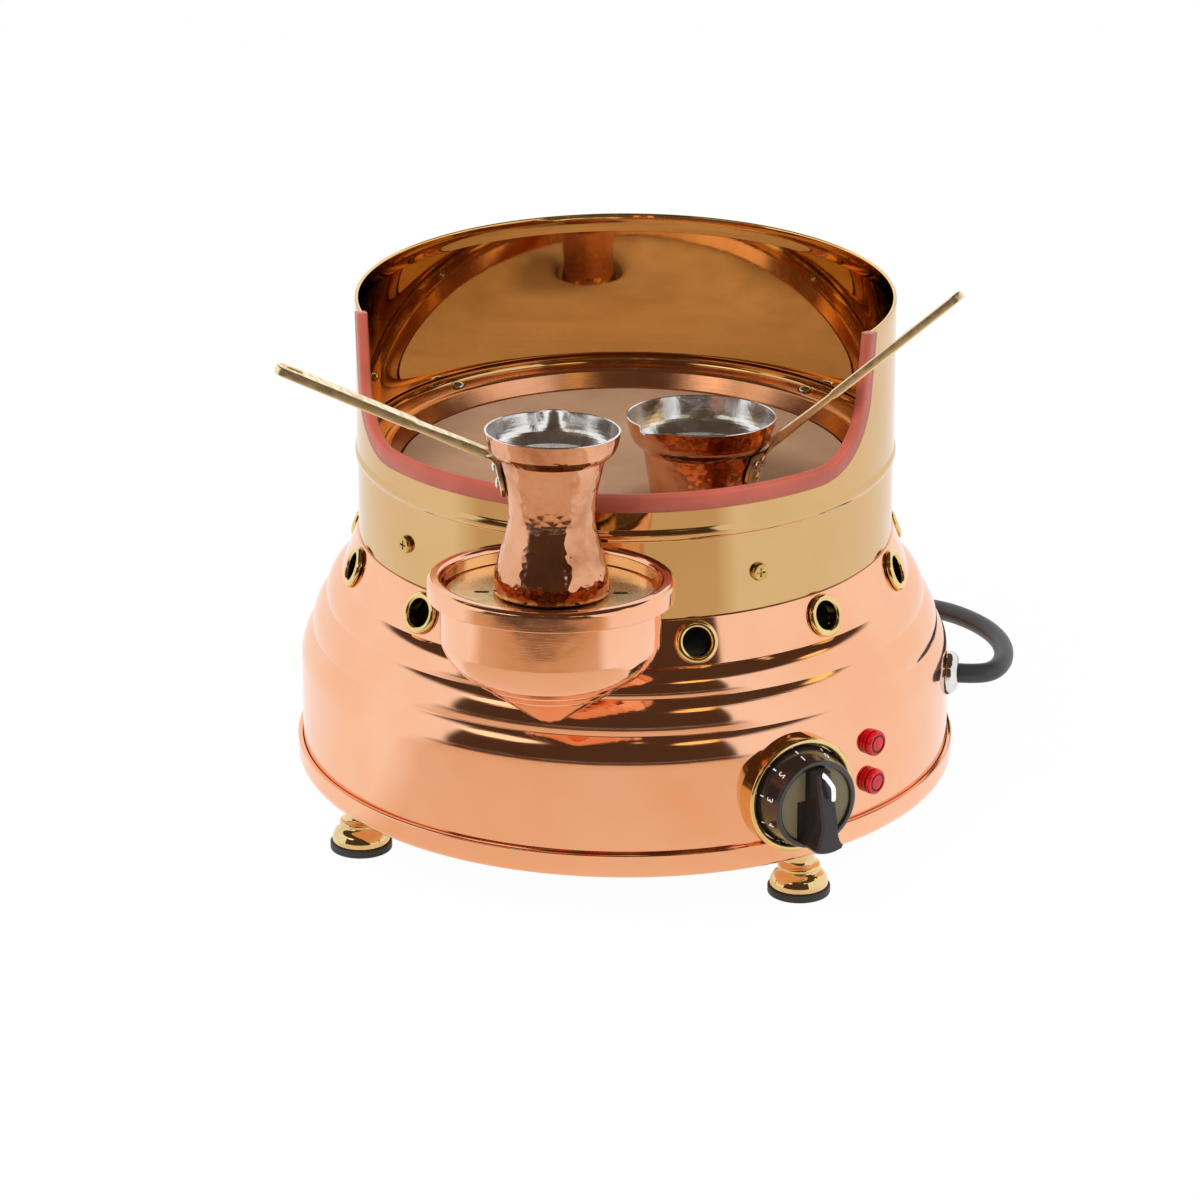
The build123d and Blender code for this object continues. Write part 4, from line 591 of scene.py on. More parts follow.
def apply_step(piece, kind, **settings):
    """Puts one modifier on a piece and keeps its result as the piece's mesh."""
    step = piece.modifiers.new("step", kind)
    for key, value in settings.items():
        setattr(step, key, value)
    graph = bpy.context.evaluated_depsgraph_get()
    done = bpy.data.meshes.new_from_object(piece.evaluated_get(graph))
    piece.modifiers.clear()
    piece.data = done


def cut(piece, tool):
    apply_step(piece, "BOOLEAN", operation="DIFFERENCE", solver="EXACT", object=tool)
    bpy.data.objects.remove(tool)


def cut_holes(piece, places, radius, low, high, band):
    """Round holes through a lathed piece; inside the band of heights it keeps the shading it had uncut."""
    smooth = piece.copy()
    smooth.data = piece.data.copy()
    bpy.context.collection.objects.link(smooth)
    verts, faces, _ = spun([(0, low), (radius, low), (radius, high), (0, high)], 48)
    cut(piece, mesh_object("cutter", *joined(*[(to_row @ place, verts, faces) for place in places])))
    group = piece.vertex_groups.new(name="band")
    group.add([v.index for v in piece.data.vertices if band[0] < v.co.z * 1000 < band[1]], 1.0, "REPLACE")
    apply_step(piece, "DATA_TRANSFER", object=smooth, vertex_group="band", use_loop_data=True,
               data_types_loops={"CUSTOM_NORMAL"}, loop_mapping="POLYINTERP_NEAREST")
    bpy.data.objects.remove(smooth)


def dress(material, *names):
    """A material on CAD nodes that keep their own shape."""
    for name in names:
        mesh = frame["nodes"][name].data
        mesh.materials.clear()
        mesh.materials.append(material)


dress(steel, "corner_brackets", "foot_nuts", "drum_nuts", "tray_support_ring", "tray_nuts", "clamp_bar",
      "heater_stud", "heat_shield", "shield_posts", "thermostat_body", "thermostat_screws",
      "thermostat_shaft", "bracket_bolts", "bowl_screws")
dress(dark_steel, "heating_element")
dress(wool, "insulation_disc")
dress(copper, "thermostat_bulb")
dress(lamp_plastic, "lamp_bodies", "lamp_nuts", "cord_clamp")
dress(bright_brass, "bowl_bracket", "earth_stud")
dress(plate_brass, "drip_plate")
dress(chrome, "gland_nut", "plug_pins", "tray_screws", "small_pot_rivets", "large_pot_rivets")
dress(cord_rubber, "inner_cord", "mains_plug")
dress(porcelain, "terminal_block")
dress(sleeve, "inner_wires")
dress(rubber, "coil_tie")
dress(screw_brass, "drum_screws")
dress(olive_plastic, "knob_inset")

# Base pan, its edge rolled in against the shell
pan_radius, pan_height, pan_corner, pan_sheet = 185.0, 15.4, 7.0, 1.2
bend = pan_radius - pan_corner
quarter = 1 - sqrt(0.5)
lathe("pan", "base_pan", outline(
    (0, 0), (bend, 0), (pan_radius, pan_corner, pan_corner * quarter, 10),
    (pan_radius, pan_height - 0.9), (pan_radius - 0.7, pan_height - 0.1, 0.15, 4),
    (shell_radius + 0.7, pan_height), (shell_radius + 0.25, pan_height - 0.5, 0.1, 3),
    (shell_radius + 0.25, pan_height - 2.2), (pan_radius - pan_sheet, pan_height - 3.0),
    (pan_radius - pan_sheet, pan_corner), (bend, pan_sheet, -(pan_corner - pan_sheet) * quarter, 8),
    (0, pan_sheet), soft=0.5, up=pan_z), copper, steps=288)

# Outer shell
shell_sheet = 1.2
wall_top = 62.0
step_radii = (175.4, 167.5, 158.7)
step_heights = (80.0, 98.0, 112.3)
step_bulges = (1.7, 2.0, 2.4)
drum_radius = 148.7
cone_top = (149.6, 136.3)
neck_radius = drum_radius - 1.3


def shell_outline():
    """Closed outline of the shell's sheet, outer line up and inner line down."""
    outer = [(shell_radius, 2.8), (shell_radius, wall_top)]
    crest = outer[-1]
    for radius, height, bulge in zip(step_radii, step_heights, step_bulges):
        outer += arc(crest, (radius, height), bulge, 20)
        crest = (radius, height)
    outer += [cone_top, (neck_radius, cone_top[1]), (neck_radius, 168.0)]
    outer = softened(outer, 0.9, 4, closed=False)
    inner = [(r - along.y * shell_sheet, z + along.x * shell_sheet)
             for (r, z), along in zip(outer, directions(outer))]
    return [(r, z + pan_z) for r, z in outer + inner[::-1]], len(outer)


vent_turn, vent_count = -5.5, 12
vent_height = pan_z + (cone_top[1] + step_heights[2]) / 2
vent_radius = (cone_top[0] + step_radii[2]) / 2
cone_slope = degrees(atan2(cone_top[1] - step_heights[2], step_radii[2] - cone_top[0]))
vent_places = [facing(vent_turn + 360 / vent_count * k, vent_radius, vent_height, 90 - cone_slope)
               for k in range(vent_count)]


shell_points, shell_face = shell_outline()
# The shell's inner side takes the darkened copper: painted shade seen through the vent holes.
shell = lathe("shell", "outer_shell", shell_points, [copper, unpolished_shaded_copper], steps=288,
              slots=lambda segment: int(segment >= shell_face))
vent_hole_radius, cone_edge = 8.85, 0.6
cut_holes(shell, vent_places, vent_hole_radius, -8, 6,
          (pan_z + step_heights[2] + cone_edge, pan_z + cone_top[1] - cone_edge))

# Vent eyelets
lathe("eyelets", "vent_eyelets", outline(
    (7.6, -4.5), (7.6, 1.2), (9.4, 3.0, -0.55, 8), (11.8, 0.7, -0.75, 10), (11.5, 0.1), (8.7, 0.1),
    (8.7, -3.1), (9.8, -4.5), soft=0.15), bright_brass, vent_places, 64)

# Windshield drum with its cut-out
drum_sheet = 1.0
drum_top = 271.7
drum_bottom = 136.5
bead_height, bead_half, bead_bulge, bead_step = 183.8, 3.4, 1.3, 0.3
hem_depth = 10.5
cutout_turn, cutout_half = 3.3, 67.4
cutout_bottom, cutout_corner, cutout_side = 206.3, 38.0, 60.0
cutout_lean = radians(9.0)
cutout_slope = tan(cutout_lean)


def cutout_sizes(grow):
    """Bottom, corner radius, height of the corner's middle, and half widths at the top and at that middle."""
    low, corner = cutout_bottom - grow, cutout_corner + grow
    side = drum_radius * sin(radians(cutout_half - cutout_side)) + grow / cos(cutout_lean)
    middle = low + corner
    across = side - (drum_top - middle) * cutout_slope - corner * sqrt(1 + cutout_slope ** 2)
    return low, corner, middle, side, across


def cutout_angle(lateral):
    """Degrees from the cut-out's middle to a place given by its distance beside the direction of its side."""
    return cutout_side + degrees(asin(lateral / drum_radius))


def cutout_half_at(height, grow):
    """Half angle of the cut-out at a height above the pan, in degrees; nothing below its bottom edge."""
    low, corner, middle, side, across = cutout_sizes(grow)
    if height <= low:
        return 0.0
    if height < middle + corner * sin(-cutout_lean):
        return cutout_angle(across + sqrt(max(corner ** 2 - (middle - height) ** 2, 0.0)))
    return cutout_angle(side - (drum_top - height) * cutout_slope)


def cutout_path(top):
    """Right half of the cut-out's edge from the front middle to the top, as azimuth and height."""
    low, corner, middle, side, across = cutout_sizes(0.0)
    path = [(cutout_angle(across) * k / 40, low) for k in range(40)]
    for k in range(25):
        angle = -pi / 2 + (pi / 2 - cutout_lean) * k / 24
        path.append((cutout_angle(across + corner * cos(angle)), middle + corner * sin(angle)))
    start = path[-1][1]
    for k in range(1, 13):
        height = start + (top - start) * k / 12
        path.append((cutout_angle(side - (drum_top - height) * cutout_slope), height))
    return path


def drum_point(azimuth, radius, height):
    angle = radians(azimuth)
    return (radius * sin(angle), -radius * cos(angle), pan_z + height)


def drum_rows():
    """Outer radius, inner radius and height of the drum's rows, from the bottom to the top."""
    start = bead_height - bead_half
    rows = [(drum_radius, drum_radius - drum_sheet, height)
            for height in (drum_bottom, drum_bottom + 0.3, start - 6, start - 0.4)]
    for k in range(13):
        t = k / 12
        swollen = drum_radius + bead_step * t + bead_bulge * sin(pi * t)
        rows.append((swollen, swollen - drum_sheet, start + 2 * bead_half * t))
    upper = drum_radius + bead_step
    levels = []
    height = bead_height + bead_half + 0.4
    while height < cutout_bottom - 2.5:
        levels.append(height)
        height += 3
    height, step = cutout_bottom - 2.0, 0.08
    while height < drum_top - hem_depth - 0.01:
        levels.append(height)
        height += step
        step = min(step * 1.5, 4.0)
    rows += [(upper, upper - drum_sheet, height) for height in levels + [drum_top - hem_depth]]
    folded = upper - 2.1 * drum_sheet
    for outside, inside, below in ((0, 0.25, hem_depth - 0.02), (0, 0, hem_depth - 0.35), (0, 0, 1.0),
                                   (0.1, 0.1, 0.5), (0.4, 0.4, 0.12), (0.85, 0.85, 0)):
        rows.append((upper - outside, folded + inside, drum_top - below))
    return rows


def build_drum():
    """The sheet is laid in rows that end on the cut-out's edge, hidden two millimetres inside the trim."""
    steps, front_steps, hidden = 300, 80, 2.0
    flat_half = cutout_half_at(cutout_bottom - hidden + 0.01, hidden)
    verts, outer_rows, inner_rows, opened = [], [], [], []
    for outer, inner, height in drum_rows():
        half = cutout_half_at(height, hidden)
        opened.append(half > 0)
        half = half or flat_half
        turns = [half + (360 - 2 * half) * k / steps for k in range(steps + 1)]
        if not opened[-1]:
            turns += [-half + 2 * half * k / front_steps for k in range(1, front_steps)]
        for radius, store in ((outer, outer_rows), (inner, inner_rows)):
            store.append(range(len(verts), len(verts) + len(turns)))
            verts += [drum_point(cutout_turn + turn, radius, height) for turn in turns]
    faces = []
    for i, cut_above in enumerate(opened[1:]):
        around = steps if cut_above else steps + front_steps
        faces += strip(outer_rows[i], outer_rows[i + 1], around)
        faces += [quad[::-1] for quad in strip(inner_rows[i], inner_rows[i + 1], around)]
        if cut_above and not opened[i]:
            faces += strip(outer_rows[i], inner_rows[i])[steps:]
        if cut_above:
            faces += [[outer_rows[i][k], outer_rows[i + 1][k], inner_rows[i + 1][k], inner_rows[i][k]]
                      for k in (0, steps)]
    faces += strip(outer_rows[0], inner_rows[0]) + strip(outer_rows[-1], inner_rows[-1], steps)
    inside = [int(all(hypot(*verts[v][:2]) < drum_radius - 0.35 for v in face)) for face in faces]
    # Inner faces take the brighter brass copy: painted light on the drum's inside.
    show("drum", "windshield_drum", verts, faces, [drum_brass, inner_brass_painted_light], slots=inside, sharp=40)


build_drum()

# Silicone trim along the cut-out
trim_thick, trim_lap, trim_crown = 5.8, 8.5, 1.5
trim_middle = drum_radius + bead_step / 2 - drum_sheet / 2


def build_trim():
    right = cutout_path(drum_top + 0.8)
    path = [(-azimuth, height) for azimuth, height in right[:0:-1]] + right
    half = trim_thick / 2
    round_top = [(half * cos(pi * k / 8), trim_crown - half * 0.75 * (1 - sin(pi * k / 8)))
                 for k in range(9)]
    legs = [(-half, 0.6), (-half + 0.6, 0), (-0.9, 0.1), (-0.9, 3.5), (0.9, 3.5), (0.9, 0.1), (half - 0.6, 0),
            (half, 0.6)]
    loop = round_top + [(out, across - trim_lap) for out, across in legs]
    rings = []
    ways = directions([(radians(azimuth) * drum_radius, height) for azimuth, height in path])
    for (azimuth, height), along in zip(path, ways):
        rings.append([drum_point(azimuth + cutout_turn - degrees(along.y * across / drum_radius),
                                 trim_middle + out, height + along.x * across) for out, across in loop])
    show("trim", "windshield_trim", *lofted(rings), silicone, sharp=50)


build_trim()

# Sand tray
lathe("tray", "sand_tray", outline(
    (0, 133.5), (112, 133.5), (119, 140.5, -2.0, 8), (126.2, 173.6), (130.5, 182.0), (135.5, 182.0, 1.5, 12),
    (147.1, 182.0), (147.1, 180.5), (135.5, 180.5), (130.5, 180.5, -1.5, 12), (127.7, 173.2), (120.5, 140.2),
    (112.4, 132.0, 2.0, 8), (0, 132.0), soft=0.5, up=pan_z), tray_copper, steps=256)

# Pots: their outlines stand on their own base, as in the part's source
bowl_height, bowl_tilt = 186.0, 3.5
large_x, large_y, large_height, large_tilt = 51.5, -53.5, 221.4, 3.3
bowl_place = moved(0, -bowl_distance, pan_z + bowl_height) @ Matrix.Rotation(radians(-bowl_tilt), 4, "X")
small_frame = bowl_place @ moved(0, 0, -8.98)
large_frame = (moved(large_x, large_y, pan_z + large_height)
               @ Matrix.Rotation(radians(-large_tilt), 4, "X") @ moved(0, 0, -85.0))


def smooth_line(points, count=6):
    """A curve through the points, with more points between them."""
    made = [points[0]]
    last = len(points) - 1
    for i in range(last):
        p0, p1 = Vector(points[max(i - 1, 0)]), Vector(points[i])
        p2, p3 = Vector(points[i + 1]), Vector(points[min(i + 2, last)])
        for k in range(1, count + 1):
            t = k / count
            made.append(tuple(0.5 * ((2 * p1) + (p2 - p0) * t + (2 * p0 - 5 * p1 + 4 * p2 - p3) * t * t
                                     + (3 * p1 - p0 - 3 * p2 + p3) * t * t * t)))
    return made


small_line = ((26.5, 0.0), (30.4, 3.4), (29.8, 10.5), (27.8, 19.0), (23.1, 36.5), (22.5, 45.0),
              (23.6, 55.0), (27.4, 72.9), (33.0, 78.0), (35.4, 87.5))
large_line = ((32.0, 0.0), (36.4, 4.5), (35.6, 13.0), (32.0, 24.0), (28.0, 35.0), (27.4, 42.0),
              (29.0, 52.0), (31.4, 67.0), (37.9, 73.5), (41.0, 85.0))


def pot_warp(frame_place, rim, height, azimuth, reach, width):
    """Draws the rim out into a spout and pinches it beside the beak."""
    middle = radians(azimuth - 90)

    def warp(spot):
        x, y, z = spot
        away = (atan2(y, x) - middle + pi) % (2 * pi) - pi
        near = hypot(x, y)
        climb = max(0.0, min(1.0, (z - (height - 15)) / 15)) ** 1.6
        beak = exp(-(away * rim / width) ** 2)
        pinch = exp(-((abs(away) * rim - width * 1.35) / (width * 0.6)) ** 2)
        grown = near + climb * (reach * beak - 1.2 * pinch)
        dip = climb * (-0.8 * beak)
        scale = grown / near if near > 1e-6 else 1.0
        return tuple(frame_place @ Vector((x * scale, y * scale, z + dip)))

    return warp


def build_pot(name, node, line, frame_place, azimuth, reach, width, body):
    sheet = 1.3
    (foot, _), (belly, belly_height) = line[:2]
    upper = smooth_line(line[1:8]) + smooth_line(line[7:])[1:]
    outer = [(0.0, 0.0), (foot - 3, 0.0)]
    outer += smooth_line([(foot, 0.0), (belly - 0.5, 1.4), (belly, belly_height)], 5) + upper[1:]
    top, height = outer[-1]
    inner = [(r - sheet, z) for r, z in upper if z < height - 0.4]
    rim = [(top - 0.1, height + 0.35), (top - sheet / 2, height + 0.6), (top - sheet + 0.05, height + 0.3)]
    chain = outer + rim + inner[::-1] + [(foot - 1.0, sheet + 0.5), (foot - 4.0, sheet), (0.0, sheet)]
    warp = pot_warp(frame_place, *line[-1], azimuth, reach, width)
    lathe(name, node, chain, [pot_copper, tin], steps=160, body=body, warp=warp, closed=False,
          slots=lambda segment: int(segment >= len(outer) - 1))


build_pot("small_pot_body", "small_pot", small_line, small_frame, 190.0, 6.0, 6.5, "front_pot")
build_pot("large_pot_body", "large_pot", large_line, large_frame, -31.5, 6.0, 7.5, "sand_pot")


def radius_on(line, height):
    for (r0, z0), (r1, z1) in zip(line, line[1:]):
        if z0 <= height <= z1:
            return r0 + (r1 - r0) * (height - z0) / (z1 - z0)
    return line[-1][0]


def handle_bar(length):
    """Vertices and faces of a bar along X with a round end and a slot, and which faces are its top."""
    width_root, width_end, thick, edge = 6.8, 10.6, 5.3, 0.9
    reach = length - width_end / 2
    rings = []
    for s in [-3.0] + [reach * k / 40 for k in range(41)]:
        t = max(s, 0) / reach
        width = width_root + (width_end - width_root) * min(t / 0.4, 1.0)
        tall = thick * (0.85 + 0.15 * cos(t * 9.0)) if t < 0.35 else thick * 0.92
        rings.append([(s, y, z) for y, z in rounded_loop(width, tall, edge)])
    for k in range(1, 9):
        angle = pi / 2 * k / 8
        width = max(width_end * cos(angle), 0.8)
        tall = thick * 0.92 - 1.2 * (k / 8) ** 2
        rings.append([(reach + width_end / 2 * sin(angle), y, z)
                      for y, z in rounded_loop(width, tall, min(edge, width / 2.1))])
    bar = mesh_object("bar", *lofted(rings))
    slot = [[(reach - 4.5 + x, y, z) for x, y in rounded_loop(9.0, 3.6, 1.75, 5)] for z in (-6, 6)]
    cut(bar, mesh_object("cutter", *lofted(slot)))
    verts = [tuple(v.co) for v in bar.data.vertices]
    faces = [list(face.vertices) for face in bar.data.polygons]
    on_top = [abs(face.normal.z) > 0.95 for face in bar.data.polygons]
    bpy.data.objects.remove(bar)
    return verts, faces, on_top


def handle_strap(line, root, low, high, root_height, strap_width, slant):
    """Vertices and faces of the strap that follows the pot's wall and bends out under the bar."""
    rings = []
    steps = 14
    for k in range(steps + 1):
        t = k / steps
        height = low + (high - low) * t
        radius = radius_on(line, height) + 0.4 + max(0, t - 0.85) / 0.15 * 2.5
        rounding = sin(pi * min(t / 0.7 + 0.12, 0.5))
        width = max(strap_width * (rounding if t < 0.3 else 1 - 0.9 * max(0, t - 0.5)), 2.0)
        ahead = radius_on(line, height + 1) - radius_on(line, height - 1)
        normal = Vector((2.0, 0, -ahead)).normalized()
        centre = Vector((radius, 0, height)) + normal * 1.3
        ring = []
        for y, z in rounded_loop(width, 2.6, 0.9, 3):
            bow = -(radius - sqrt(max(radius ** 2 - y ** 2, 1.0))) * 0.9
            ring.append(tuple(centre + Vector((0, y, 0)) + normal * (z + bow)))
        rings.append(ring)
    tip = Vector((root + 4.0, 0, root_height + 4.0 * tan(slant)))
    upright = Vector((-sin(slant), 0, cos(slant)))
    rings.append([tuple(tip + upright * z + Vector((0, y, 0))) for y, z in rounded_loop(6.4, 5.4, 1.2, 3)])
    return lofted(rings)


def build_handle(name, node, line, place, azimuth, rise, length, strap, body, top_brass):
    """Strap on the pot's wall and a tapered bar with a hanging slot in its round end."""
    root, root_height = line[-1][0] + 1.5, strap[2]
    slant = radians(rise)
    swing = place @ turned(azimuth) @ Matrix.Rotation(radians(-90), 4, "Z")
    bar_place = swing @ moved(root, 0, root_height) @ Matrix.Rotation(-slant, 4, "Y")
    *bar, on_top = handle_bar(length)
    verts, faces = joined((bar_place, *bar), (swing, *handle_strap(line, root, *strap, slant)))
    slots = [0 if top else 1 for top in on_top] + [1] * (len(faces) - len(on_top))
    show(name, node, verts, faces, [top_brass, handle_side], body, slots=slots, sharp=38)


build_handle("small_handle", "small_pot_handle", small_line, small_frame, -81.5, 22.0, 114.0,
             (52.0, 72.8, 75.5, 12.0), "front_pot", handle_brass)
build_handle("large_handle", "large_pot_handle", large_line, large_frame, 80.5, 42.0, 137.0,
             (48.0, 70.0, 76.0, 20.0), "sand_pot", handle_side)

# Sand, with the hollow round the pot
sand_top, sand_radius, sand_bottom = 172.8, 125.0, 134.0


def build_sand():
    """From the hollow's floor up over its rim, out to the tray's wall in low waves and back underneath."""
    lean = tan(radians(large_tilt))
    hole_x, hole_y = large_x, large_y - (large_height - sand_top) * lean
    circle = [(cos(2 * pi * k / 144), sin(2 * pi * k / 144)) for k in range(144)]
    rings = []
    for radius, rise in ((36.75, -38.0), (36.75, -6.0), (37.2, -5.0), (39.0, -3.4), (42.0, -1.2),
                         (45.0, -0.2), (48.0, 0.15), (52.0, 0.1)):
        shift = rise * lean if rise < -6 else 0.0
        rings.append([(hole_x + radius * x, hole_y + radius * y + shift, pan_z + sand_top + rise)
                      for x, y in circle])
    inner = rings[-1]
    for t in (0.12, 0.25, 0.4, 0.55, 0.7, 0.82, 0.92, 0.98, 1.0):
        ring = []
        for (start_x, start_y, _), (ex, ey) in zip(inner, circle):
            b = start_x * ex + start_y * ey
            far = -b + sqrt(b * b - (start_x ** 2 + start_y ** 2 - sand_radius ** 2))
            x, y = start_x + ex * far * t, start_y + ey * far * t
            wave = 0.35 * sin(x / 17.0) * cos(y / 13.0) + 0.2 * sin((x + y) / 7.0)
            ring.append((x, y, pan_z + sand_top + wave * (1 - t ** 6) + 0.3 * t ** 8))
        rings.append(ring)
    rings.append([(x * 0.955, y * 0.955, pan_z + sand_bottom) for x, y, z in rings[-1]])
    show("sand_fill", "sand", *lofted(rings, endless=True), sand_look, sharp=60)


build_sand()

# Stand bowl
bowl_out = outline((0, -79.5), (2.6, -79.3), (5.4, -78.5), (9.6, -76.3), (25.8, -65.2))
for k in range(1, 9):
    r = 25.8 + (47.6 - 25.8) * k / 8
    z = -65.2 + (65.2 - 49.8) * k / 8
    bowl_out += [(r - 0.9, z - 0.9), (r, z)] if k % 3 == 0 else [(r, z)]
bowl_out += outline((47.6, -49.8), (56.0, -39.0, 0.9, 10), (57.7, -34.0, 0.2, 6), (57.7, -10.5),
                    (64.7, -10.5))[1:]
rim_round = 3.0
bowl_rim = outline((64.7, -10.5), (64.7, -rim_round), (61.7, 0, rim_round * quarter, 8), (59.4, 0),
                   (56.4, -rim_round, rim_round * quarter, 8))
bowl_in = [(56.4, -10.5), (52.0, -10.5), (52.0, -11.8), (56.4, -11.8), (56.4, -33.8), (54.7, -38.6),
           (46.7, -48.9), (25.1, -64.0), (9.0, -75.1), (4.9, -77.3), (0, -78.1)]
lathe("bowl", "stand_bowl", softened(bowl_out + bowl_rim[1:] + bowl_in, 0.45), bowl_copper, [bowl_place], 224)

# Feet
foot_turn, foot_radius = -3.4, 165.5
foot_places = [turned(foot_turn + side) @ moved(0, -foot_radius, 0) for side in (-48.7, 48.7, 131.3, 228.7)]
bell = smooth_line(((16.0, 5.6), (15.7, 8.0), (14.2, 11.2), (11.6, 13.6), (10.9, 14.6)), 5)
collar = arc((10.9, 14.6), (10.4, 17.6), 1.1, 8)
neck = smooth_line(((10.4, 17.6), (8.9, 19.0), (8.4, 21.5), (8.8, 24.5), (9.8, 27.4)), 5)
foot_line = [(0, 4.6), (15.6, 4.6), (15.95, 4.9)] + bell + collar + neck[1:] + [(0, 27.4)]
lathe("foot_bells", "brass_feet", foot_line, foot_brass, foot_places, 96)
lathe("foot_pads", "rubber_pads", outline(
    (0, 0), (16.4, 0), (17.2, 0.8, 0.25, 5), (17.2, 3.6), (16.6, 4.6, 0.25, 5), (0, 4.6), soft=0.2),
      rubber, foot_places, 96)

# Bezel, knob and pointer
knob_azimuth, knob_height = 40.2, 42.0
knob_place = facing(knob_azimuth, shell_radius, pan_z + knob_height)
lathe("bezel", "knob_bezel", outline(
    (32.3, -6), (32.3, 7.2), (30.5, 9.0, 0.6, 8), (28.8, 7.2, 0.6, 8), (28.8, 2.2), (7, 2.2), (7, -0.9),
    (29.3, -0.9), (29.3, -6), soft=0.4), bright_brass, [knob_place], 160)


def grip_face(y):
    """Height of the grip's front at a place along it: level, and sloping down to the ring at its top."""
    return 37.0 - max(0.0, y - 14.5) * 1.15


def build_pointer():
    """White line that starts on the slope at the grip's top and runs down its front."""
    line = smooth_line(((-1.2, 20.2), (0.2, 18.6), (1.4, 15.5), (1.9, 11.5), (1.9, 6.8)), 6)
    rings = []
    for index, (point, along) in enumerate(zip(line, directions(line))):
        half = 1.35 if 0 < index < len(line) - 1 else 0.7
        spots = [(Vector(point) + Vector((-along.y, along.x)) * across, rise)
                 for across, rise in ((-half, 0.02), (-half + 0.2, 0.28), (half - 0.2, 0.28), (half, 0.02))]
        rings.append([tuple(knob_place @ Vector((spot.x, spot.y, grip_face(spot.y) + rise)))
                      for spot, rise in spots])
    show("pointer", "knob_pointer", *lofted(rings), white_paint, "dial", sharp=30)


def build_knob():
    """Turned skirt and ring, and the grip across them with its front edge rounded."""
    verts, faces, _ = spun(outline(
        (25.8, 5.4), (28.0, 5.4), (28.0, 7.6), (24.9, 21.6), (24.0, 23.0, 0.35, 6), (22.4, 23.2),
        (21.5, 22.4, 0.2, 4), (21.5, 20.5), (0, 20.5), (0, 18.1), (21.5, 18.1), (25.8, 7.4), soft=0.3), 128)
    work = bmesh.new()
    half, flare, top, low = 4.7, 9.0, 20.8, -21.7
    right = outline((half, top), (half, low * 0.35), (half + 1.4, low * 0.72, 0.2, 6),
                    (flare, low + 1.6, 0.5, 6), (flare - 0.9, low, 0.4, 4))
    bottom = arc((flare - 0.9, low), (0.9 - flare, low), -1.6, 12)
    ring = right + bottom + [(-x, y) for x, y in right[::-1]][1:]
    base = work.faces.new([work.verts.new((x, y, 19.5)) for x, y in ring])
    made = bmesh.ops.extrude_face_region(work, geom=[base])
    for item in made["geom"]:
        if isinstance(item, bmesh.types.BMVert):
            item.co.z = grip_face(item.co.y)
    bmesh.ops.recalc_face_normals(work, faces=work.faces)
    front_edges = [edge for edge in work.edges if all(vert.co.z > 22 for vert in edge.verts)]
    bmesh.ops.bevel(work, geom=front_edges, offset=1.1, segments=4, profile=0.6, affect="EDGES")
    work.verts.index_update()
    grip_verts = [vert.co.copy() for vert in work.verts]
    grip_faces = [[vert.index for vert in face.verts] for face in work.faces]
    work.free()
    slots = [0] * len(faces) + [1] * len(grip_faces)
    verts, faces = joined((knob_place, verts, faces), (knob_place, grip_verts, grip_faces))
    show("knob_turned", "knob", verts, faces, [knob_plastic, grip_plastic], "dial", slots=slots, sharp=30)


build_knob()
build_pointer()


def build_numerals():
    """Plain numbers and a tick each on the skirt's cone."""
    slope = atan2(28.0 - 24.9, 21.6 - 7.6)
    up = Vector((0, 0, 1))
    tick = [(-0.35, -1.3), (0.35, -1.3), (0.35, 1.3), (-0.35, 1.3)]
    verts, faces = [], []
    for index in range(7):
        angle = radians(68 + index * 33)
        text = bpy.data.curves.new("digit", "FONT")
        text.body = str(index)
        text.size = 6.0
        text.align_x = text.align_y = "CENTER"
        holder = bpy.data.objects.new("digit", text)
        glyph = bpy.data.meshes.new_from_object(holder)
        bpy.data.objects.remove(holder)
        outward = Vector((cos(angle), sin(angle), 0))
        normal = (outward * cos(slope) + up * sin(slope)).normalized()
        down = (outward * sin(slope) - up * cos(slope)).normalized()
        across = down.cross(normal)
        digit = [v.co[:2] for v in glyph.vertices], [list(p.vertices) for p in glyph.polygons]
        for along, (flat, flat_faces) in ((9.4, digit), (3.2, (tick, [[0, 1, 2, 3]]))):
            centre = outward * (28.0 - along * tan(slope)) + up * (7.6 + along) + normal * 0.12
            faces += [[v + len(verts) for v in face] for face in flat_faces]
            verts += [tuple(knob_place @ (centre - across * x + down * y)) for x, y in flat]
    show("numerals", None, verts, faces, white_paint, "dial", slot="knob_white")


build_numerals()

# Indicator lamps
lamp_azimuth, lamp_heights = 57.4, (33.5, 56.1)
lamp_places = [facing(lamp_azimuth, shell_radius, pan_z + height) for height in lamp_heights]
lamp_line = [(0, -5), (5, -5), (5, 0.1), (7.1, 0.1), (7.2, 1.9), (6.6, 2.1), (6.6, 2.5), (7.2, 2.7),
             (7.2, 3.4), (6.9, 4.6), (6.2, 5.2), (5.3, 5.3), (4.9, 4.8), (4.3, 4.8), (4.0, 5.2), (0, 5.4)]
lamp_grooves = (4, 5, 6, 11, 12, 13)
# The grooves take the near-black lens copy as painted shade.
lathe("lamps", "lamp_lenses", lamp_line, [lens_red, lens_groove_shade], lamp_places, 64,
      slots=lambda segment: int(segment in lamp_grooves))

# Cord gland
lathe("gland", "cord_gland", outline(
    (5.8, -12), (9.5, -12), (9.5, 0.1), (12.5, 0.1), (12.3, 1.2), (10.6, 4.4, 0.45, 10), (7.0, 6.4, 0.5, 10),
    (5.8, 6.4), soft=0.2), chrome, [facing(gland_azimuth, shell_radius, gland_height)], 96)


# Floor, surroundings and lights
dark_room = (0.075, 0.045, 0.028)
white = (1.0, 1.0, 1.0)


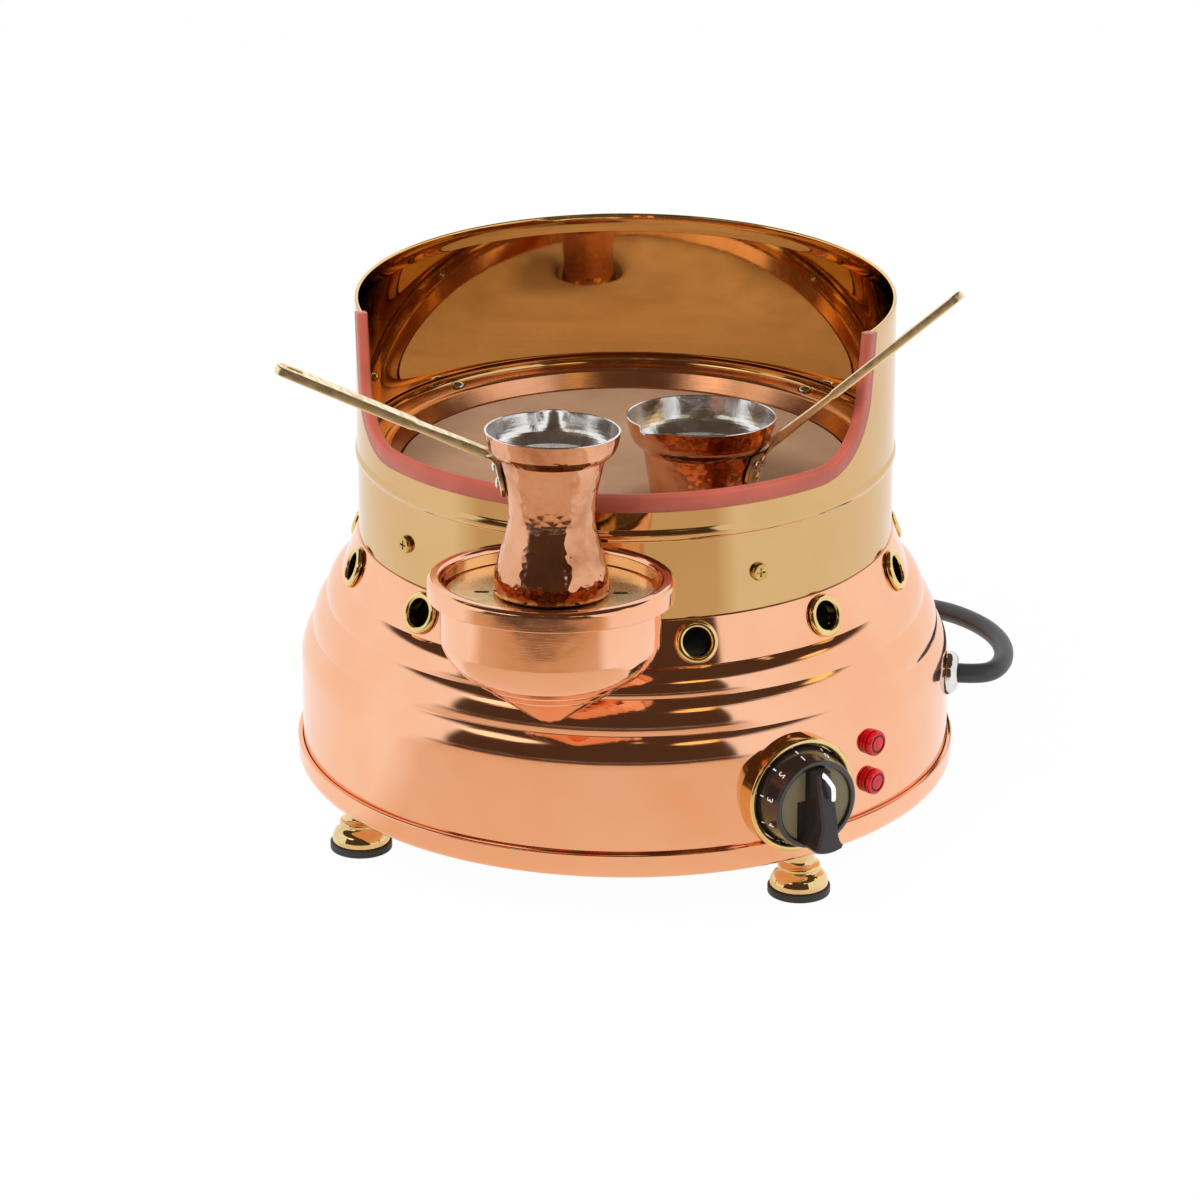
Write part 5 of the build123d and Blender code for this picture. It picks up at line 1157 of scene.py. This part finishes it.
def build_floor():
    """Pale floor, white to the camera; its mirror image in metal is painted reflection that darkens outwards
    as in the photograph.
    """
    reach, drop = 12.0, -0.0004
    corners = [(x * reach, y * reach, drop) for x, y in ((-1, -1), (1, -1), (1, 1), (-1, 1))]
    f = Shader("floor")
    f.look(Base_Color=(0.86, 0.86, 0.86), Roughness=0.9)
    rays = f.add("LightPath").outputs
    x, y, _ = f.add("SeparateXYZ", {0: f.place()}).outputs
    x = f.math("SUBTRACT", x, axis_x)
    y = f.math("SUBTRACT", y, axis_y)
    bearing = f.bearing(x, y)
    # Painted reflection: in glossy rays the floor glows with peach, brown and dark tones that darken with
    # distance from the machine, white in the front sector; these tones are painted reflection, not the
    # floor's own colour.
    painted_reflection_tones = f.ramp(f.spread(f.distance(x, y), 0.0, 1.2, 0.0, 1.0), (0.16, (0.88, 0.74, 0.60)),
                    (0.40, (0.78, 0.64, 0.50)), (0.64, (0.74, 0.60, 0.46)), (0.80, (0.64, 0.44, 0.26)),
                    (0.85, (0.60, 0.39, 0.20)), (0.87, dark_room))
    sector = f.math("MULTIPLY", f.spread(bearing, -70.0, -58.0, 0.0, 1.0),
                    f.spread(bearing, 34.0, 43.0, 1.0, 0.0))
    floor_white_and_painted_reflection = f.mixed(f.math("MULTIPLY", sector, rays["Is Glossy Ray"]), white, painted_reflection_tones)
    glow = f.add("Emission", {"Color": floor_white_and_painted_reflection, "Strength": 1.0}).outputs[0]
    seen = f.math("MAXIMUM", rays["Is Camera Ray"], rays["Is Glossy Ray"])
    f.put(f.tree.nodes["Material Output"].inputs["Surface"],
          f.blend(f.math("MULTIPLY", seen, 0.975), f.surface.outputs[0], glow))
    mesh_object("floor", corners, [(0, 1, 2, 3)], [f.material])


def build_world():
    """White studio: pale walls with a dark doorway behind the camera, a dark ceiling and a few soft lamps."""
    world = bpy.data.worlds.new("studio")
    bpy.context.scene.world = world
    world.use_nodes = True
    world.node_tree.nodes.clear()
    w = Nodes(world.node_tree)
    x, y, z = w.add("SeparateXYZ", {0: w.add("TexCoord").outputs["Generated"]}).outputs
    height = w.math("MULTIPLY", w.math("ARCSINE", z), 180 / pi)
    azimuth = w.bearing(x, y)
    doorway = w.math("MULTIPLY", w.ease(azimuth, -66.0, -62.0),
                     w.math("SUBTRACT", 1.0, w.ease(azimuth, 37.0, 39.0)))
    doorway = w.math("MULTIPLY", doorway, w.ease(height, -1.0, 0.5))
    colour = w.mixed(w.math("MAXIMUM", doorway, w.ease(height, 35.0, 41.0)), white, dark_room)
    for turn, rise, wide, tall, tone in (
            (28.0, 37.0, 9.0, 3.2, (1.5, 1.15, 0.45)), (-49.0, 33.0, 17.0, 5.0, (1.6, 1.5, 1.3)),
            (92.0, 42.0, 9.0, 3.0, (1.5, 1.2, 0.55)), (-10.0, 52.0, 2.5, 1.5, (1.4, 1.1, 0.4)),
            (5.0, 44.0, 2.0, 1.2, (1.4, 1.1, 0.4))):
        across = w.math("DIVIDE", w.math("SUBTRACT", azimuth, turn), wide)
        along = w.math("DIVIDE", w.math("SUBTRACT", height, rise), tall)
        away = w.distance(across, along)
        colour = w.mixed(w.math("SUBTRACT", 1.0, w.ease(away, 0.75, 1.25)), colour, tone)
    studio, plain, seen = [w.add("Background", {"Color": tone, "Strength": strength}).outputs[0]
                           for tone, strength in ((colour, 1.0), (white, 0.85), (white, 1.0))]
    rays = w.add("LightPath").outputs
    light = w.blend(rays["Is Glossy Ray"], plain, studio)
    w.add("OutputWorld", {"Surface": w.blend(rays["Is Camera Ray"], light, seen)})


build_floor()
build_world()


def add_light(name, azimuth, elevation, distance, size, power):
    data = bpy.data.lights.new(name, "AREA")
    data.shape = "DISK"
    data.size = size
    data.energy = power
    a, e = radians(azimuth + front_turn), radians(elevation)
    away = Vector((sin(a) * cos(e), -cos(a) * cos(e), sin(e)))
    light = aimed(name, data, Vector((axis_x, axis_y, 0.15)) + away * distance, away)
    light.visible_glossy = False


add_light("key", -35, 48, 2.2, 0.9, 30)
add_light("fill", 60, 35, 2.4, 1.2, 14)
